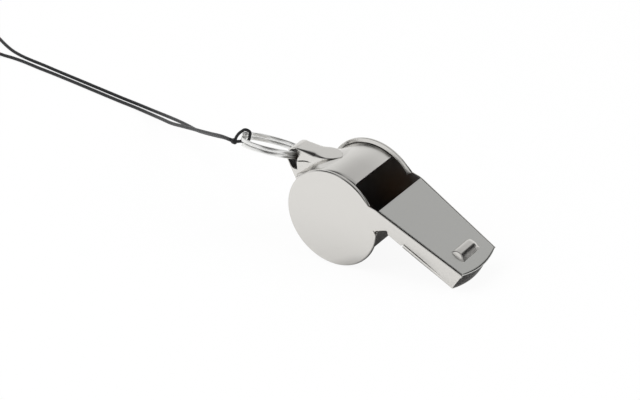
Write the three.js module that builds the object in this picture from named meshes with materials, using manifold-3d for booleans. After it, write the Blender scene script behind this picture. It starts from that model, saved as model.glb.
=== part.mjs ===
// Metal pea whistle with a cork pea, a split ring and a thin neck cord.
// Millimetres, +Z up, mouth towards +X.
import * as THREE from 'three';
import { mergeVertices } from 'three/addons/utils/BufferGeometryUtils.js';
import { ConvexGeometry } from 'three/addons/geometries/ConvexGeometry.js';
import Module from 'manifold-3d';

const wasm = await Module();
wasm.setup();

// Driving dimensions of the body. The whistle's own axes: X along the mouthpiece, Z square to its
// top plate, and the barrel axis (along Y) through the origin.
const RIM_RADIUS = 11;
const BODY_WIDTH = 16.7;
const SIDE_SHEET = 0.45;
const RIM_WIDTH = 1.0;
const RIM_DEPTH = 0.7;
const SHEET = 0.5;
const FIT = 0.1;
const REST_GAP = 0.3;
const LIP_LEAN_DEG = 2.5;
const NOTCH_ANGLE_DEG = 25;

// Driving dimensions of the mouthpiece.
const MOUTH_LENGTH = 29.5;
const MOUTH_BULGE = 1.1;
const LOWER_LIP_SHORTER = 0.35;
const MOUTH_HEIGHT = 4.6;
const WINDOW_END = 7.9;
const TOP_LEVEL = 10;
const MOUTH_HALF_WIDTH = 6.65;
const FOLD_AT = 8.6;
const FLANGE_START = 16;
const FLANGE_HEIGHT = 0.85;
const FLOOR_RISE = 1.25;
const WINDWAY_SLIT = 1.3;
const THROAT_X = 9.05;
const THROAT_LEVEL = 5.1;
const HUMP_START = 10.9;
const HUMP_END = 12.3;
const HUMP_EDGE = 7.4;
const EDGE_START = 12.1;
const RIB_FROM_MOUTH = 3.7;
const RIB_LENGTH = 7.2;
const RIB_WIDTH = 2.9;
const RIB_HEIGHT = 0.9;

// Driving dimensions of the lanyard loop, the pea, the ring and the cord.
const LOOP_LEAN_DEG = 31;
const LOOP_SHEET = 0.3;
const LOOP_HALF_WIDTH = 2.05;
const LOOP_REACH = 12.4;
const LOOP_LIFT = 0.45;
const CURL_RADIUS = 2.5;
const EYE_DEPTH = 1.4;
const PEA_RADIUS = 4.5;
const RING_RADIUS = 6.6;
const RING_WIRE_RADIAL = 0.75;
const RING_WIRE_AXIAL = 0.78;
const RING_PITCH = 0.88;
const CORD = 0.8;
const KNOT = 1.5;

// Sizes that follow from the driving ones.
const BARREL_RADIUS = RIM_RADIUS - RIM_DEPTH - FIT;
const CHAMBER_RADIUS = BARREL_RADIUS - SHEET;
const HALF_WIDTH = BODY_WIDTH / 2;
const INNER_HALF = HALF_WIDTH - SIDE_SHEET - FIT;
const FLOOR_LEVEL = TOP_LEVEL - MOUTH_HEIGHT;
const TAPER = (HALF_WIDTH - MOUTH_HALF_WIDTH) / (MOUTH_LENGTH - FOLD_AT);
const TOP_UNDERSIDE = TOP_LEVEL - SHEET;
const LOWER_LIP = MOUTH_LENGTH - LOWER_LIP_SHORTER;
const LOWER_TIP = LOWER_LIP + MOUTH_BULGE;
const STEP = THREE.MathUtils.degToRad(6);
const deg = THREE.MathUtils.degToRad;

// The whistle rests on its two rims and on the middle of the lower lip.
const LIP_DISTANCE = Math.hypot(LOWER_TIP, FLOOR_LEVEL);
const REST_TILT = Math.asin(RIM_RADIUS / LIP_DISTANCE) + Math.atan2(FLOOR_LEVEL, LOWER_TIP);

const STEEL = { color: 0xc9cccf, metalness: 1, roughness: 0.25 };
const LOOKS = {
  plate: STEEL,
  wrap: STEEL,
  ring: { color: 0x9fa3a8, metalness: 1, roughness: 0.2 },
  cork: { color: 0xb98a57, metalness: 0, roughness: 0.9 },
  cord: { color: 0x17181a, metalness: 0, roughness: 0.85 },
};

function solid(geometry) {
  const bare = geometry.clone();
  bare.deleteAttribute('normal');
  bare.deleteAttribute('uv');
  const merged = mergeVertices(bare, 1e-5);
  const mesh = new wasm.Mesh({
    numProp: 3,
    vertProperties: new Float32Array(merged.attributes.position.array),
    triVerts: new Uint32Array(merged.index.array),
  });
  return new wasm.Manifold(mesh);
}

function geometryOf(body) {
  const mesh = body.getMesh();
  const geometry = new THREE.BufferGeometry();
  geometry.setAttribute('position', new THREE.BufferAttribute(new Float32Array(mesh.vertProperties), 3));
  geometry.setIndex(new THREE.BufferAttribute(new Uint32Array(mesh.triVerts), 1));
  return geometry;
}

// Points on an arc in the XZ plane, angles in radians from +X towards +Z.
function arc(centreX, centreZ, radius, from, to) {
  const count = Math.max(2, Math.round(Math.abs(to - from) / STEP));
  const points = [];
  for (let i = 0; i <= count; i += 1) {
    const angle = from + ((to - from) * i) / count;
    points.push([centreX + radius * Math.cos(angle), centreZ + radius * Math.sin(angle)]);
  }
  return points;
}

// A closed outline in the XZ plane, carried along Y from one value to another.
function slab(outline, yFrom, yTo) {
  const shape = new THREE.Shape(outline.map(([x, z]) => new THREE.Vector2(x, z)));
  const geometry = new THREE.ExtrudeGeometry(shape, { depth: yTo - yFrom, bevelEnabled: false });
  geometry.rotateX(Math.PI / 2);
  geometry.translate(0, yTo, 0);
  return geometry;
}

// A closed outline in the XY plane, carried along Z from one value to another.
function plate(outline, zFrom, zTo) {
  const shape = new THREE.Shape(outline.map(([x, y]) => new THREE.Vector2(x, y)));
  const geometry = new THREE.ExtrudeGeometry(shape, { depth: zTo - zFrom, bevelEnabled: false });
  geometry.translate(0, 0, zFrom);
  return geometry;
}

function mirrored(geometry) {
  const copy = geometry.clone().applyMatrix4(new THREE.Matrix4().makeScale(1, -1, 1));
  const index = copy.index.array;
  for (let i = 0; i < index.length; i += 3) {
    const kept = index[i];
    index[i] = index[i + 1];
    index[i + 1] = kept;
  }
  return copy;
}

// Half width of the side walls' outer faces along the mouthpiece.
function wallAt(x) {
  return HALF_WIDTH - TAPER * (x - FOLD_AT);
}

// Underside of the mouthpiece's floor, which rises from the mouth to the throat.
const FLOOR_SLOPE = FLOOR_RISE / (LOWER_TIP - HUMP_END);
function floorAt(x) {
  return FLOOR_LEVEL + FLOOR_SLOPE * (LOWER_TIP - x);
}

// Side plate: a flat disc with a turned rim, and the mouthpiece's side wall folded a little inwards.
function sidePlate() {
  const notch = deg(NOTCH_ANGLE_DEG);
  const window = deg(59.5);
  const wallTop = TOP_LEVEL - FIT;
  const wallFoot = (x) => floorAt(x) + SHEET + FIT;
  const disc = slab([
    ...arc(0, 0, RIM_RADIUS, window, notch + 2 * Math.PI),
    [THROAT_X, THROAT_LEVEL],
    [FOLD_AT + 0.3, wallTop - 0.5],
    [FOLD_AT - 1.1, wallTop],
  ], HALF_WIDTH - SIDE_SHEET, HALF_WIDTH);
  const wall = slab([
    [FOLD_AT, THROAT_LEVEL + 0.1],
    [THROAT_X, THROAT_LEVEL],
    [HUMP_START + 0.45, HUMP_EDGE],
    [HUMP_END - 0.6, HUMP_EDGE],
    [HUMP_END - 0.2, floorAt(HUMP_END) + FIT],
    [FLANGE_START - 0.4, floorAt(FLANGE_START) + FIT],
    [FLANGE_START - 0.2, wallFoot(FLANGE_START)],
    [LOWER_LIP, wallFoot(LOWER_LIP)],
    [MOUTH_LENGTH, wallTop],
    [FOLD_AT, wallTop],
  ], HALF_WIDTH - SIDE_SHEET, HALF_WIDTH);
  const fold = new THREE.Matrix4().set(
    1, 0, 0, 0,
    -TAPER, 1, 0, TAPER * FOLD_AT,
    0, 0, 1, 0,
    0, 0, 0, 1,
  );
  wall.applyMatrix4(fold);
  const rim = slab([
    ...arc(0, 0, RIM_RADIUS, window, notch + 2 * Math.PI),
    ...arc(0, 0, RIM_RADIUS - RIM_DEPTH, notch + 2 * Math.PI, window),
  ], HALF_WIDTH - RIM_WIDTH, HALF_WIDTH - SIDE_SHEET / 2);
  return geometryOf(solid(disc).add(solid(wall)).add(solid(rim)));
}

// Barrel: one strip from the sounding lip over the back and the bottom to the throat.
function barrelWrap() {
  const lip = deg(90 - LIP_LEAN_DEG);
  const throat = deg(NOTCH_ANGLE_DEG - 1) + 2 * Math.PI;
  return slab([
    ...arc(0, 0, BARREL_RADIUS, lip, throat),
    ...arc(0, 0, CHAMBER_RADIUS, throat, lip + deg(2.5)),
  ], -INNER_HALF, INNER_HALF);
}

// Front edge of the mouthpiece, bulging towards the lips, from +Y to -Y.
function lipCurve(x, half) {
  const points = [];
  for (let i = 0; i <= 12; i += 1) {
    const y = half * (1 - i / 6);
    points.push([x + MOUTH_BULGE * (1 - (y / half) ** 2), y]);
  }
  return points;
}

// Top plate of the mouthpiece: set between the side walls, with turned-down edges and a tooth-grip rib.
function mouthpieceTop() {
  const inset = SIDE_SHEET + FIT;
  const rear = wallAt(FOLD_AT) - inset;
  const front = wallAt(MOUTH_LENGTH) - inset;
  const sheet = solid(plate([
    [WINDOW_END, rear],
    [WINDOW_END, -rear],
    ...lipCurve(MOUTH_LENGTH, front).reverse(),
  ], TOP_UNDERSIDE, TOP_LEVEL));
  const edge = solid(plate([
    [EDGE_START, wallAt(EDGE_START) - inset],
    [EDGE_START, wallAt(EDGE_START) - inset - SHEET],
    [MOUTH_LENGTH - 0.6, wallAt(MOUTH_LENGTH - 0.6) - inset - SHEET],
    [MOUTH_LENGTH - 0.6, wallAt(MOUTH_LENGTH - 0.6) - inset],
  ], TOP_UNDERSIDE - 0.9, TOP_UNDERSIDE + SHEET / 2));
  const ribCentre = MOUTH_LENGTH - RIB_FROM_MOUTH;
  const low = [];
  const high = [];
  for (let i = 0; i < 32; i += 1) {
    const angle = (i * Math.PI) / 16;
    const reach = (RIB_LENGTH - RIB_WIDTH) / 2;
    const end = Math.sin(angle) < 0 ? -reach : reach;
    const x = (RIB_WIDTH / 2) * Math.cos(angle);
    const y = (RIB_WIDTH / 2) * Math.sin(angle);
    low.push(new THREE.Vector3(ribCentre + x, end + y, TOP_LEVEL - SHEET / 2));
    low.push(new THREE.Vector3(ribCentre + x, end + y, TOP_LEVEL + 0.15));
    high.push(new THREE.Vector3(ribCentre + 0.75 * x, end + 0.75 * y, TOP_LEVEL + 0.75 * RIB_HEIGHT));
    high.push(new THREE.Vector3(ribCentre + 0.4 * x, end + 0.4 * y, TOP_LEVEL + RIB_HEIGHT));
  }
  const rib = solid(new ConvexGeometry([...low, ...high]));
  return geometryOf(sheet.add(edge).add(solid(mirrored(geometryOf(edge)))).add(rib));
}

// Floor of the mouthpiece: a rising sheet with a hump that narrows the windway, and low flanges outside
// the walls.
function mouthpieceFloor() {
  const humpTop = TOP_UNDERSIDE - WINDWAY_SLIT;
  const rampFoot = BARREL_RADIUS * Math.cos(deg(NOTCH_ANGLE_DEG)) + REST_GAP;
  const rampLevel = BARREL_RADIUS * Math.sin(deg(NOTCH_ANGLE_DEG)) + REST_GAP;
  const hump = [
    [rampFoot, rampLevel],
    [HUMP_START + 0.25, humpTop - SHEET],
    [HUMP_END - 0.6, humpTop - SHEET],
    [HUMP_END - 0.1, floorAt(HUMP_END - 0.1)],
    [FLANGE_START + 1, floorAt(FLANGE_START + 1)],
    [FLANGE_START + 1, floorAt(FLANGE_START + 1) + SHEET],
    [HUMP_END + 0.25, floorAt(HUMP_END + 0.25) + SHEET],
    [HUMP_END - 0.3, humpTop],
    [HUMP_START - 0.05, humpTop],
    [rampFoot - 0.45, rampLevel + 0.25],
  ];
  const inset = SIDE_SHEET + FIT;
  const spanAt = (x) => wallAt(Math.max(x, FOLD_AT)) - inset;
  const trim = solid(plate([
    [rampFoot - 2, spanAt(FOLD_AT)],
    [rampFoot - 2, -spanAt(FOLD_AT)],
    [FOLD_AT, -spanAt(FOLD_AT)],
    [FLANGE_START + 2, -spanAt(FLANGE_START + 2)],
    [FLANGE_START + 2, spanAt(FLANGE_START + 2)],
    [FOLD_AT, spanAt(FOLD_AT)],
  ], 0, TOP_LEVEL + 2));
  const rear = solid(slab(hump, -HALF_WIDTH, HALF_WIDTH)).intersect(trim);
  const outside = FIT + SIDE_SHEET;
  const rise = new THREE.Matrix4().set(
    1, 0, 0, 0,
    0, 1, 0, 0,
    -FLOOR_SLOPE, 0, 1, floorAt(0),
    0, 0, 0, 1,
  );
  const front = solid(plate([
    [FLANGE_START, wallAt(FLANGE_START) + outside],
    [FLANGE_START, -wallAt(FLANGE_START) - outside],
    ...lipCurve(LOWER_LIP, wallAt(LOWER_LIP) + outside).reverse(),
  ], 0, SHEET).applyMatrix4(rise));
  const flange = solid(plate([
    [FLANGE_START, wallAt(FLANGE_START) + outside],
    [FLANGE_START, wallAt(FLANGE_START) + FIT],
    [LOWER_LIP, wallAt(LOWER_LIP) + FIT],
    [LOWER_LIP, wallAt(LOWER_LIP) + outside],
  ], SHEET / 2, FLANGE_HEIGHT).applyMatrix4(rise));
  return geometryOf(rear.add(front).add(flange).add(solid(mirrored(geometryOf(flange)))));
}

// Foot of the lanyard loop on the barrel, one side: angle behind the top, share of the half width, and
// lift off the barrel.
const LOOP_FOOT = [
  { behind: 6, share: 0.03, lift: 0.45 },
  { behind: 11.3, share: 0.17, lift: 0.5 },
  { behind: 19, share: 0.29, lift: 0.6 },
  { behind: 25, share: 0.42, lift: 0.85 },
  { behind: 29.6, share: 0.58, lift: 1.15 },
  { behind: 33.1, share: 0.72, lift: 1.2 },
  { behind: 36.7, share: 0.86, lift: 1.25 },
  { behind: 41.2, share: 0.98, lift: 1.4 },
  { behind: 62, share: 0.98, lift: 1.2 },
  { behind: 84, share: 0.8, lift: 0.9 },
  { behind: 104, share: 0.42, lift: 0.6 },
];

// The loop's own axes: turned so that its top strap is level when the whistle rests.
const LOOP_TOP = BARREL_RADIUS + LOOP_LIFT;
const CURL_LEVEL = LOOP_TOP - CURL_RADIUS;
const LOOP_SPAN = HALF_WIDTH - RIM_WIDTH - FIT;

function loopBody(inset) {
  const points = [];
  const half = LOOP_HALF_WIDTH - inset;
  const top = LOOP_TOP - inset;
  for (const side of [-1, 1]) {
    for (const foot of LOOP_FOOT) {
      const angle = deg(foot.behind);
      const radius = BARREL_RADIUS + foot.lift - inset;
      const y = side * Math.max(0, LOOP_SPAN * foot.share - inset);
      const level = Math.min(top, radius * Math.cos(angle));
      points.push(new THREE.Vector3(-radius * Math.sin(angle), y, level));
      const core = 0.6 * BARREL_RADIUS;
      points.push(new THREE.Vector3(-core * Math.sin(angle), y, core * Math.cos(angle)));
    }
    points.push(new THREE.Vector3(-LOOP_REACH, side * half, top));
    points.push(new THREE.Vector3(-LOOP_REACH, side * half, CURL_LEVEL - CURL_RADIUS + 0.25 + inset));
    points.push(new THREE.Vector3(-LOOP_REACH - 0.9 + inset, side * half, CURL_LEVEL - CURL_RADIUS - 2.4));
  }
  return solid(new ConvexGeometry(points));
}

function lanyardLoop() {
  const wrapRadius = BARREL_RADIUS + LOOP_SHEET + REST_GAP;
  const reach = Math.hypot(LOOP_REACH, CURL_LEVEL);
  const slope = Math.asin((wrapRadius - CURL_RADIUS) / reach) + Math.atan2(CURL_LEVEL, LOOP_REACH);
  const turn = Math.PI / 2 + Math.PI / 2 + (Math.PI / 2 - slope);
  const outer = [
    [-2, LOOP_TOP],
    ...arc(-LOOP_REACH, CURL_LEVEL, CURL_RADIUS, Math.PI / 2, turn),
    [wrapRadius * Math.cos(turn), wrapRadius * Math.sin(turn)],
  ];
  const inner = [
    [(wrapRadius - LOOP_SHEET) * Math.cos(turn), (wrapRadius - LOOP_SHEET) * Math.sin(turn)],
    ...arc(-LOOP_REACH, CURL_LEVEL, CURL_RADIUS - LOOP_SHEET, turn, Math.PI / 2),
    [-2, LOOP_TOP - LOOP_SHEET],
  ];
  const strap = solid(slab([...outer, ...inner], -LOOP_HALF_WIDTH, LOOP_HALF_WIDTH));
  const eye = solid(slab([
    [-LOOP_REACH + EYE_DEPTH, CURL_LEVEL + CURL_RADIUS - LOOP_SHEET],
    ...arc(-LOOP_REACH, CURL_LEVEL, CURL_RADIUS - LOOP_SHEET, Math.PI / 2, 1.5 * Math.PI),
    [-LOOP_REACH + EYE_DEPTH, CURL_LEVEL - CURL_RADIUS + LOOP_SHEET],
  ], -HALF_WIDTH, HALF_WIDTH));
  const barrel = solid(slab(
    arc(0, 0, BARREL_RADIUS + 0.25, 0, 2 * Math.PI - STEP),
    -2 * HALF_WIDTH,
    2 * HALF_WIDTH,
  ));
  return geometryOf(loopBody(0).subtract(loopBody(LOOP_SHEET)).add(strap).subtract(eye).subtract(barrel));
}

// A closed tube of given section along a path, one quarter-turned section per station.
function sweep(stations, section) {
  const sides = section.length;
  const positions = [];
  const faces = [];
  for (const { at, across, up } of stations) {
    for (const [a, b] of section) {
      const point = at.clone().addScaledVector(across, a).addScaledVector(up, b);
      positions.push(point.x, point.y, point.z);
    }
  }
  const last = stations.length - 1;
  for (let i = 0; i < last; i += 1) {
    for (let j = 0; j < sides; j += 1) {
      const next = (j + 1) % sides;
      const a = i * sides + j;
      const b = i * sides + next;
      faces.push(a, a + sides, b, b, a + sides, b + sides);
    }
  }
  for (let j = 1; j < sides - 1; j += 1) {
    faces.push(0, j, j + 1);
    faces.push(last * sides, last * sides + j + 1, last * sides + j);
  }
  const geometry = new THREE.BufferGeometry();
  geometry.setAttribute('position', new THREE.Float32BufferAttribute(positions, 3));
  geometry.setIndex(faces);
  return geometry;
}

function roundSection(radius, sides) {
  const section = [];
  for (let i = 0; i < sides; i += 1) {
    const angle = (2 * Math.PI * i) / sides;
    section.push([radius * Math.cos(angle), radius * Math.sin(angle)]);
  }
  return section;
}

// The ring's own axes: from the eye outwards, along the wire in the eye, and square to the ring.
const RING_OUT = new THREE.Vector3(-0.9771, -0.1481, 0.1529).normalize();
const RING_LEAN = new THREE.Vector3(0.0741, 0.4365, 0.8966);
const RING_UP = RING_LEAN.clone().addScaledVector(RING_OUT, -RING_OUT.dot(RING_LEAN)).normalize();
const RING_ALONG = new THREE.Vector3().crossVectors(RING_UP, RING_OUT);
const RING_EYE = new THREE.Vector3(-LOOP_REACH - 0.1, 0, CURL_LEVEL - 0.05);
const RING_CENTRE = RING_EYE.clone().addScaledVector(RING_OUT, RING_RADIUS);
const RING_ENDS_AT = deg(215);

// Split ring: flat wire wound in two turns.
function splitRing() {
  const stations = [];
  const half = 2 * Math.PI - deg(8);
  const count = 104;
  for (let i = 0; i <= count; i += 1) {
    const along = -half + (2 * half * i) / count;
    const angle = RING_ENDS_AT + along;
    const across = RING_OUT.clone().multiplyScalar(-Math.cos(angle));
    across.addScaledVector(RING_ALONG, -Math.sin(angle));
    const at = RING_CENTRE.clone().addScaledVector(across, RING_RADIUS);
    at.addScaledVector(RING_UP, (RING_PITCH * along) / (2 * Math.PI));
    stations.push({ at, across, up: RING_UP });
  }
  const a = RING_WIRE_RADIAL / 2;
  const b = RING_WIRE_AXIAL / 2;
  const c = 0.18;
  return sweep(stations, [
    [a, -b + c], [a, b - c], [a - c, b], [-a + c, b], [-a, b - c], [-a, -b + c], [-a + c, -b], [a - c, -b],
  ]);
}

// Loop of cord round the ring's wire, from the knot over the wire and back below it: outwards, up, and
// along the wire.
const HITCH_AT = RING_CENTRE.clone().addScaledVector(RING_OUT, RING_RADIUS);
const HITCH_LOOP = [
  [2.25, -1.3, -0.25],
  [2.2, -0.45, -0.2],
  [1.85, 0.4, -0.1],
  [1.25, 1.15, 0],
  [0.5, 1.72, 0],
  [-0.4, 1.78, 0],
  [-1.0, 1.25, 0],
  [-1.02, 0.3, 0],
  [-1.0, -0.55, 0],
  [-0.45, -1.12, 0],
  [0.5, -1.22, 0],
  [1.4, -1.4, 0.15],
  [2.25, -1.65, 0.25],
];

function hitchPoint(out, up, along) {
  const at = HITCH_AT.clone().addScaledVector(RING_OUT, out);
  return at.addScaledVector(RING_UP, up).addScaledVector(RING_ALONG, along);
}

const KNOT_AT = hitchPoint(2.3, -1.5, 0);

// Hitch: the loop of cord through the ring and the small knot that closes it.
function lanyardHitch() {
  const curve = new THREE.CatmullRomCurve3(HITCH_LOOP.map((at) => hitchPoint(...at)), false, 'centripetal');
  const path = curve.getSpacedPoints(40);
  const stations = path.map((at, i) => {
    const tangent = path[Math.min(40, i + 1)].clone().sub(path[Math.max(0, i - 1)]).normalize();
    const across = RING_ALONG.clone().addScaledVector(tangent, -tangent.dot(RING_ALONG)).normalize();
    return { at, across, up: new THREE.Vector3().crossVectors(across, tangent) };
  });
  const loop = solid(sweep(stations, roundSection(CORD / 2, 8)));
  const knot = new THREE.SphereGeometry(KNOT / 2, 14, 10).translate(KNOT_AT.x, KNOT_AT.y, KNOT_AT.z);
  return geometryOf(loop.add(solid(knot)));
}

// Neck cord. Middle line of the two strands from the knot to the floor and along it, half the distance
// between them, and how far the far one lies under it.
const STRAND_ROUTE = [
  [-32.4, -0.5, 18.9, 0.42, 0.3],
  [-39.0, 4.0, 15.9, 0.42, 0.3],
  [-44.8, 8.1, 13.2, 0.42, 0.3],
  [-50.8, 12.4, 10.45, 0.46, 0.28],
  [-57.6, 17.2, 7.6, 0.72, 0.12],
  [-63.7, 21.3, 5.2, 0.94, 0],
  [-70.3, 25.5, 2.95, 0.9, 0],
  [-77.8, 29.4, 1.05, 0.8, 0],
  [-83.1, 31.1, 0.55, 0.75, 0],
  [-89.1, 32.3, 0.45, 0.75, 0],
  [-96.2, 33.7, 0.45, 0.75, 0],
  [-105.3, 35.5, 0.45, 0.75, 0],
  [-116.3, 37.6, 0.45, 0.85, 0],
  [-129.6, 40.1, 0.45, 1.4, 0],
];
const KNOT_HEADING = new THREE.Vector3(-0.86, 0.455, -0.229).normalize();

// Coil of the cord that is not in use, lying on the floor.
const COIL_CENTRE = new THREE.Vector3(-162, 46.4, 0);
const COIL_HEADING = 2.95;
const COIL_PITCH = CORD + 0.46;
const COIL_TURNS = 5;
const COIL_LAYERS = 4;
const COIL_INNER = 2.2;
const COIL_BASE = 0.05 + 0.5 + REST_GAP + CORD / 2;
const COIL_TOTAL = COIL_TURNS * COIL_LAYERS + 0.5;

function coilPoint(turns) {
  const layer = Math.min(COIL_LAYERS - 1, Math.floor(turns / COIL_TURNS));
  const within = turns - layer * COIL_TURNS;
  const outer = COIL_INNER + COIL_PITCH * COIL_TURNS;
  const radius = layer % 2 === 0 ? outer - COIL_PITCH * within : COIL_INNER + COIL_PITCH * within;
  let level = 0;
  for (let k = 1; k < COIL_LAYERS; k += 1) {
    const climb = Math.min(1, Math.max(0, 2 * (turns - k * COIL_TURNS) + 0.5));
    level += climb * climb * (3 - 2 * climb);
  }
  const angle = COIL_HEADING - Math.PI / 2 + 2 * Math.PI * turns;
  return new THREE.Vector3(
    COIL_CENTRE.x + radius * Math.cos(angle),
    COIL_CENTRE.y + radius * Math.sin(angle),
    COIL_BASE + COIL_PITCH * level,
  );
}

const coilPath = [];
for (let i = 0; i <= COIL_TOTAL * 24; i += 1) {
  coilPath.push(coilPoint(i / 24));
}
coilPath.unshift(coilPath[0].clone().addScaledVector(coilPath[0].clone().sub(coilPath[1]).normalize(), CORD));
const lastTurn = coilPath[coilPath.length - 1].clone().sub(coilPath[coilPath.length - 2]).normalize();
coilPath.push(coilPath[coilPath.length - 1].clone().addScaledVector(lastTurn, CORD));

let leastGap = Infinity;
for (let i = 0; i < coilPath.length; i += 1) {
  for (let j = i + 12; j < coilPath.length; j += 1) {
    leastGap = Math.min(leastGap, coilPath[i].distanceTo(coilPath[j]) - CORD);
  }
}
console.log(`least gap of the coil to itself ${leastGap.toFixed(3)} mm`);

function stationsOf(path) {
  return path.map((at, i) => {
    const before = path[Math.max(0, i - 1)];
    const after = path[Math.min(path.length - 1, i + 1)];
    const tangent = after.clone().sub(before).normalize();
    const across = new THREE.Vector3().crossVectors(tangent, new THREE.Vector3(0, 0, 1)).normalize();
    return { at, across, up: new THREE.Vector3().crossVectors(across, tangent) };
  });
}

function cordTube(path, sides) {
  return sweep(stationsOf(path), roundSection(CORD / 2, sides));
}

// One strand: leaves the knot, follows the middle line at its own side and ends square at the coil.
function strand(side, hitchEnd, coilEnd, coilNext) {
  const control = [hitchEnd, hitchEnd.clone().addScaledVector(KNOT_HEADING, CORD)];
  STRAND_ROUTE.forEach(([x, y, z, gap, under], i) => {
    const before = STRAND_ROUTE[Math.max(0, i - 1)];
    const after = STRAND_ROUTE[Math.min(STRAND_ROUTE.length - 1, i + 1)];
    const heading = new THREE.Vector2(after[0] - before[0], after[1] - before[1]).normalize();
    control.push(new THREE.Vector3(x + side * gap * heading.y, y - side * gap * heading.x, z - side * under));
  });
  const leave = coilEnd.clone().sub(coilNext).normalize();
  control.push(coilEnd.clone().addScaledVector(leave, 8 * CORD));
  control.push(coilEnd.clone().addScaledVector(leave, REST_GAP + CORD));
  control.push(coilEnd.clone().addScaledVector(leave, REST_GAP));
  const curve = new THREE.CatmullRomCurve3(control, false, 'centripetal');
  const path = curve.getSpacedPoints(39);
  path.forEach((at) => at.setZ(Math.max(at.z, CORD / 2 + 0.05)));
  return cordTube(path, 8);
}

// Tie: a flat band round the coil's bundle of turns.
function coilTie() {
  const inner = COIL_INNER - CORD / 2 - REST_GAP;
  const outer = COIL_INNER + COIL_PITCH * (COIL_TURNS + 0.5) + CORD / 2 + REST_GAP;
  const low = COIL_BASE - CORD / 2 - REST_GAP;
  const high = COIL_BASE + COIL_PITCH * (COIL_LAYERS - 1) + CORD / 2 + REST_GAP;
  const band = 0.5;
  const frame = (by) => [
    [inner - by, low - by],
    [outer + by, low - by],
    [outer + by, high + by],
    [inner - by, high + by],
  ];
  const tie = solid(slab(frame(band), -0.6, 0.6)).subtract(solid(slab(frame(0), -1, 1)));
  const geometry = geometryOf(tie);
  geometry.rotateZ(COIL_HEADING);
  return geometry.translate(COIL_CENTRE.x, COIL_CENTRE.y, 0);
}

// Everything is placed as it rests on the floor: first the body's tilt, then the loop's, then the origin.
const bodyPlace = new THREE.Matrix4().makeTranslation(0, 0, RIM_RADIUS);
bodyPlace.multiply(new THREE.Matrix4().makeRotationY(REST_TILT));
const loopPlace = bodyPlace.clone().multiply(new THREE.Matrix4().makeRotationY(-deg(LOOP_LEAN_DEG)));

const nearPlate = mirrored(sidePlate());
const ball = new THREE.SphereGeometry(PEA_RADIUS, 28, 18);
ball.deleteAttribute('uv');
ball.deleteAttribute('normal');
const pea = mergeVertices(ball, 1e-5);
pea.translate(0, 0, RIM_RADIUS - CHAMBER_RADIUS + REST_GAP + PEA_RADIUS);

const pieces = [
  ['near_side_plate', nearPlate.applyMatrix4(bodyPlace), LOOKS.plate],
  ['far_side_plate', sidePlate().applyMatrix4(bodyPlace), LOOKS.plate],
  ['barrel_wrap', barrelWrap().applyMatrix4(bodyPlace), LOOKS.wrap],
  ['mouthpiece_top', mouthpieceTop().applyMatrix4(bodyPlace), LOOKS.plate],
  ['mouthpiece_floor', mouthpieceFloor().applyMatrix4(bodyPlace), LOOKS.plate],
  ['lanyard_loop', lanyardLoop().applyMatrix4(loopPlace), LOOKS.wrap],
  ['cork_pea', pea, LOOKS.cork],
  ['split_ring', splitRing().applyMatrix4(loopPlace), LOOKS.ring],
];

const hardware = new THREE.Box3();
for (const [, geometry] of pieces) {
  geometry.computeBoundingBox();
  hardware.union(geometry.boundingBox);
}
const middle = hardware.getCenter(new THREE.Vector3());

const knotOut = KNOT_AT.clone().applyMatrix4(loopPlace).addScaledVector(KNOT_HEADING, KNOT / 2 + REST_GAP);
const strandSide = new THREE.Vector3(KNOT_HEADING.y, -KNOT_HEADING.x, 0).normalize();
const [, , , firstGap, firstUnder] = STRAND_ROUTE[0];
function strandStart(side) {
  const start = knotOut.clone().addScaledVector(strandSide, side * firstGap);
  return start.setZ(start.z - side * firstUnder);
}
const coilLast = coilPath.length - 1;
const farStrand = strand(1, strandStart(1), coilPath[0], coilPath[1]);
const nearStrand = strand(-1, strandStart(-1), coilPath[coilLast], coilPath[coilLast - 1]);
pieces.push(['lanyard_hitch', lanyardHitch().applyMatrix4(loopPlace), LOOKS.cord]);
pieces.push(['lanyard_strand_far', farStrand, LOOKS.cord]);
pieces.push(['lanyard_strand_near', nearStrand, LOOKS.cord]);
pieces.push(['lanyard_coil', cordTube(coilPath, 6), LOOKS.cord]);
pieces.push(['coil_tie', coilTie(), LOOKS.cord]);

const whistle = new THREE.Group();
whistle.name = 'pea_whistle';
for (const [name, geometry, look] of pieces) {
  geometry.translate(-middle.x, 0, -hardware.min.z);
  geometry.computeVertexNormals();
  const mesh = new THREE.Mesh(geometry, new THREE.MeshStandardMaterial(look));
  mesh.name = name;
  whistle.add(mesh);
}

export default whistle;
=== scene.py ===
"""Looks of a sheet-metal pea whistle with a split ring and a thin neck cord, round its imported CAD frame."""
import math

import bmesh
import bpy
from bpy.props import FloatProperty, FloatVectorProperty, PointerProperty
from mathutils import Matrix, Vector


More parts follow.
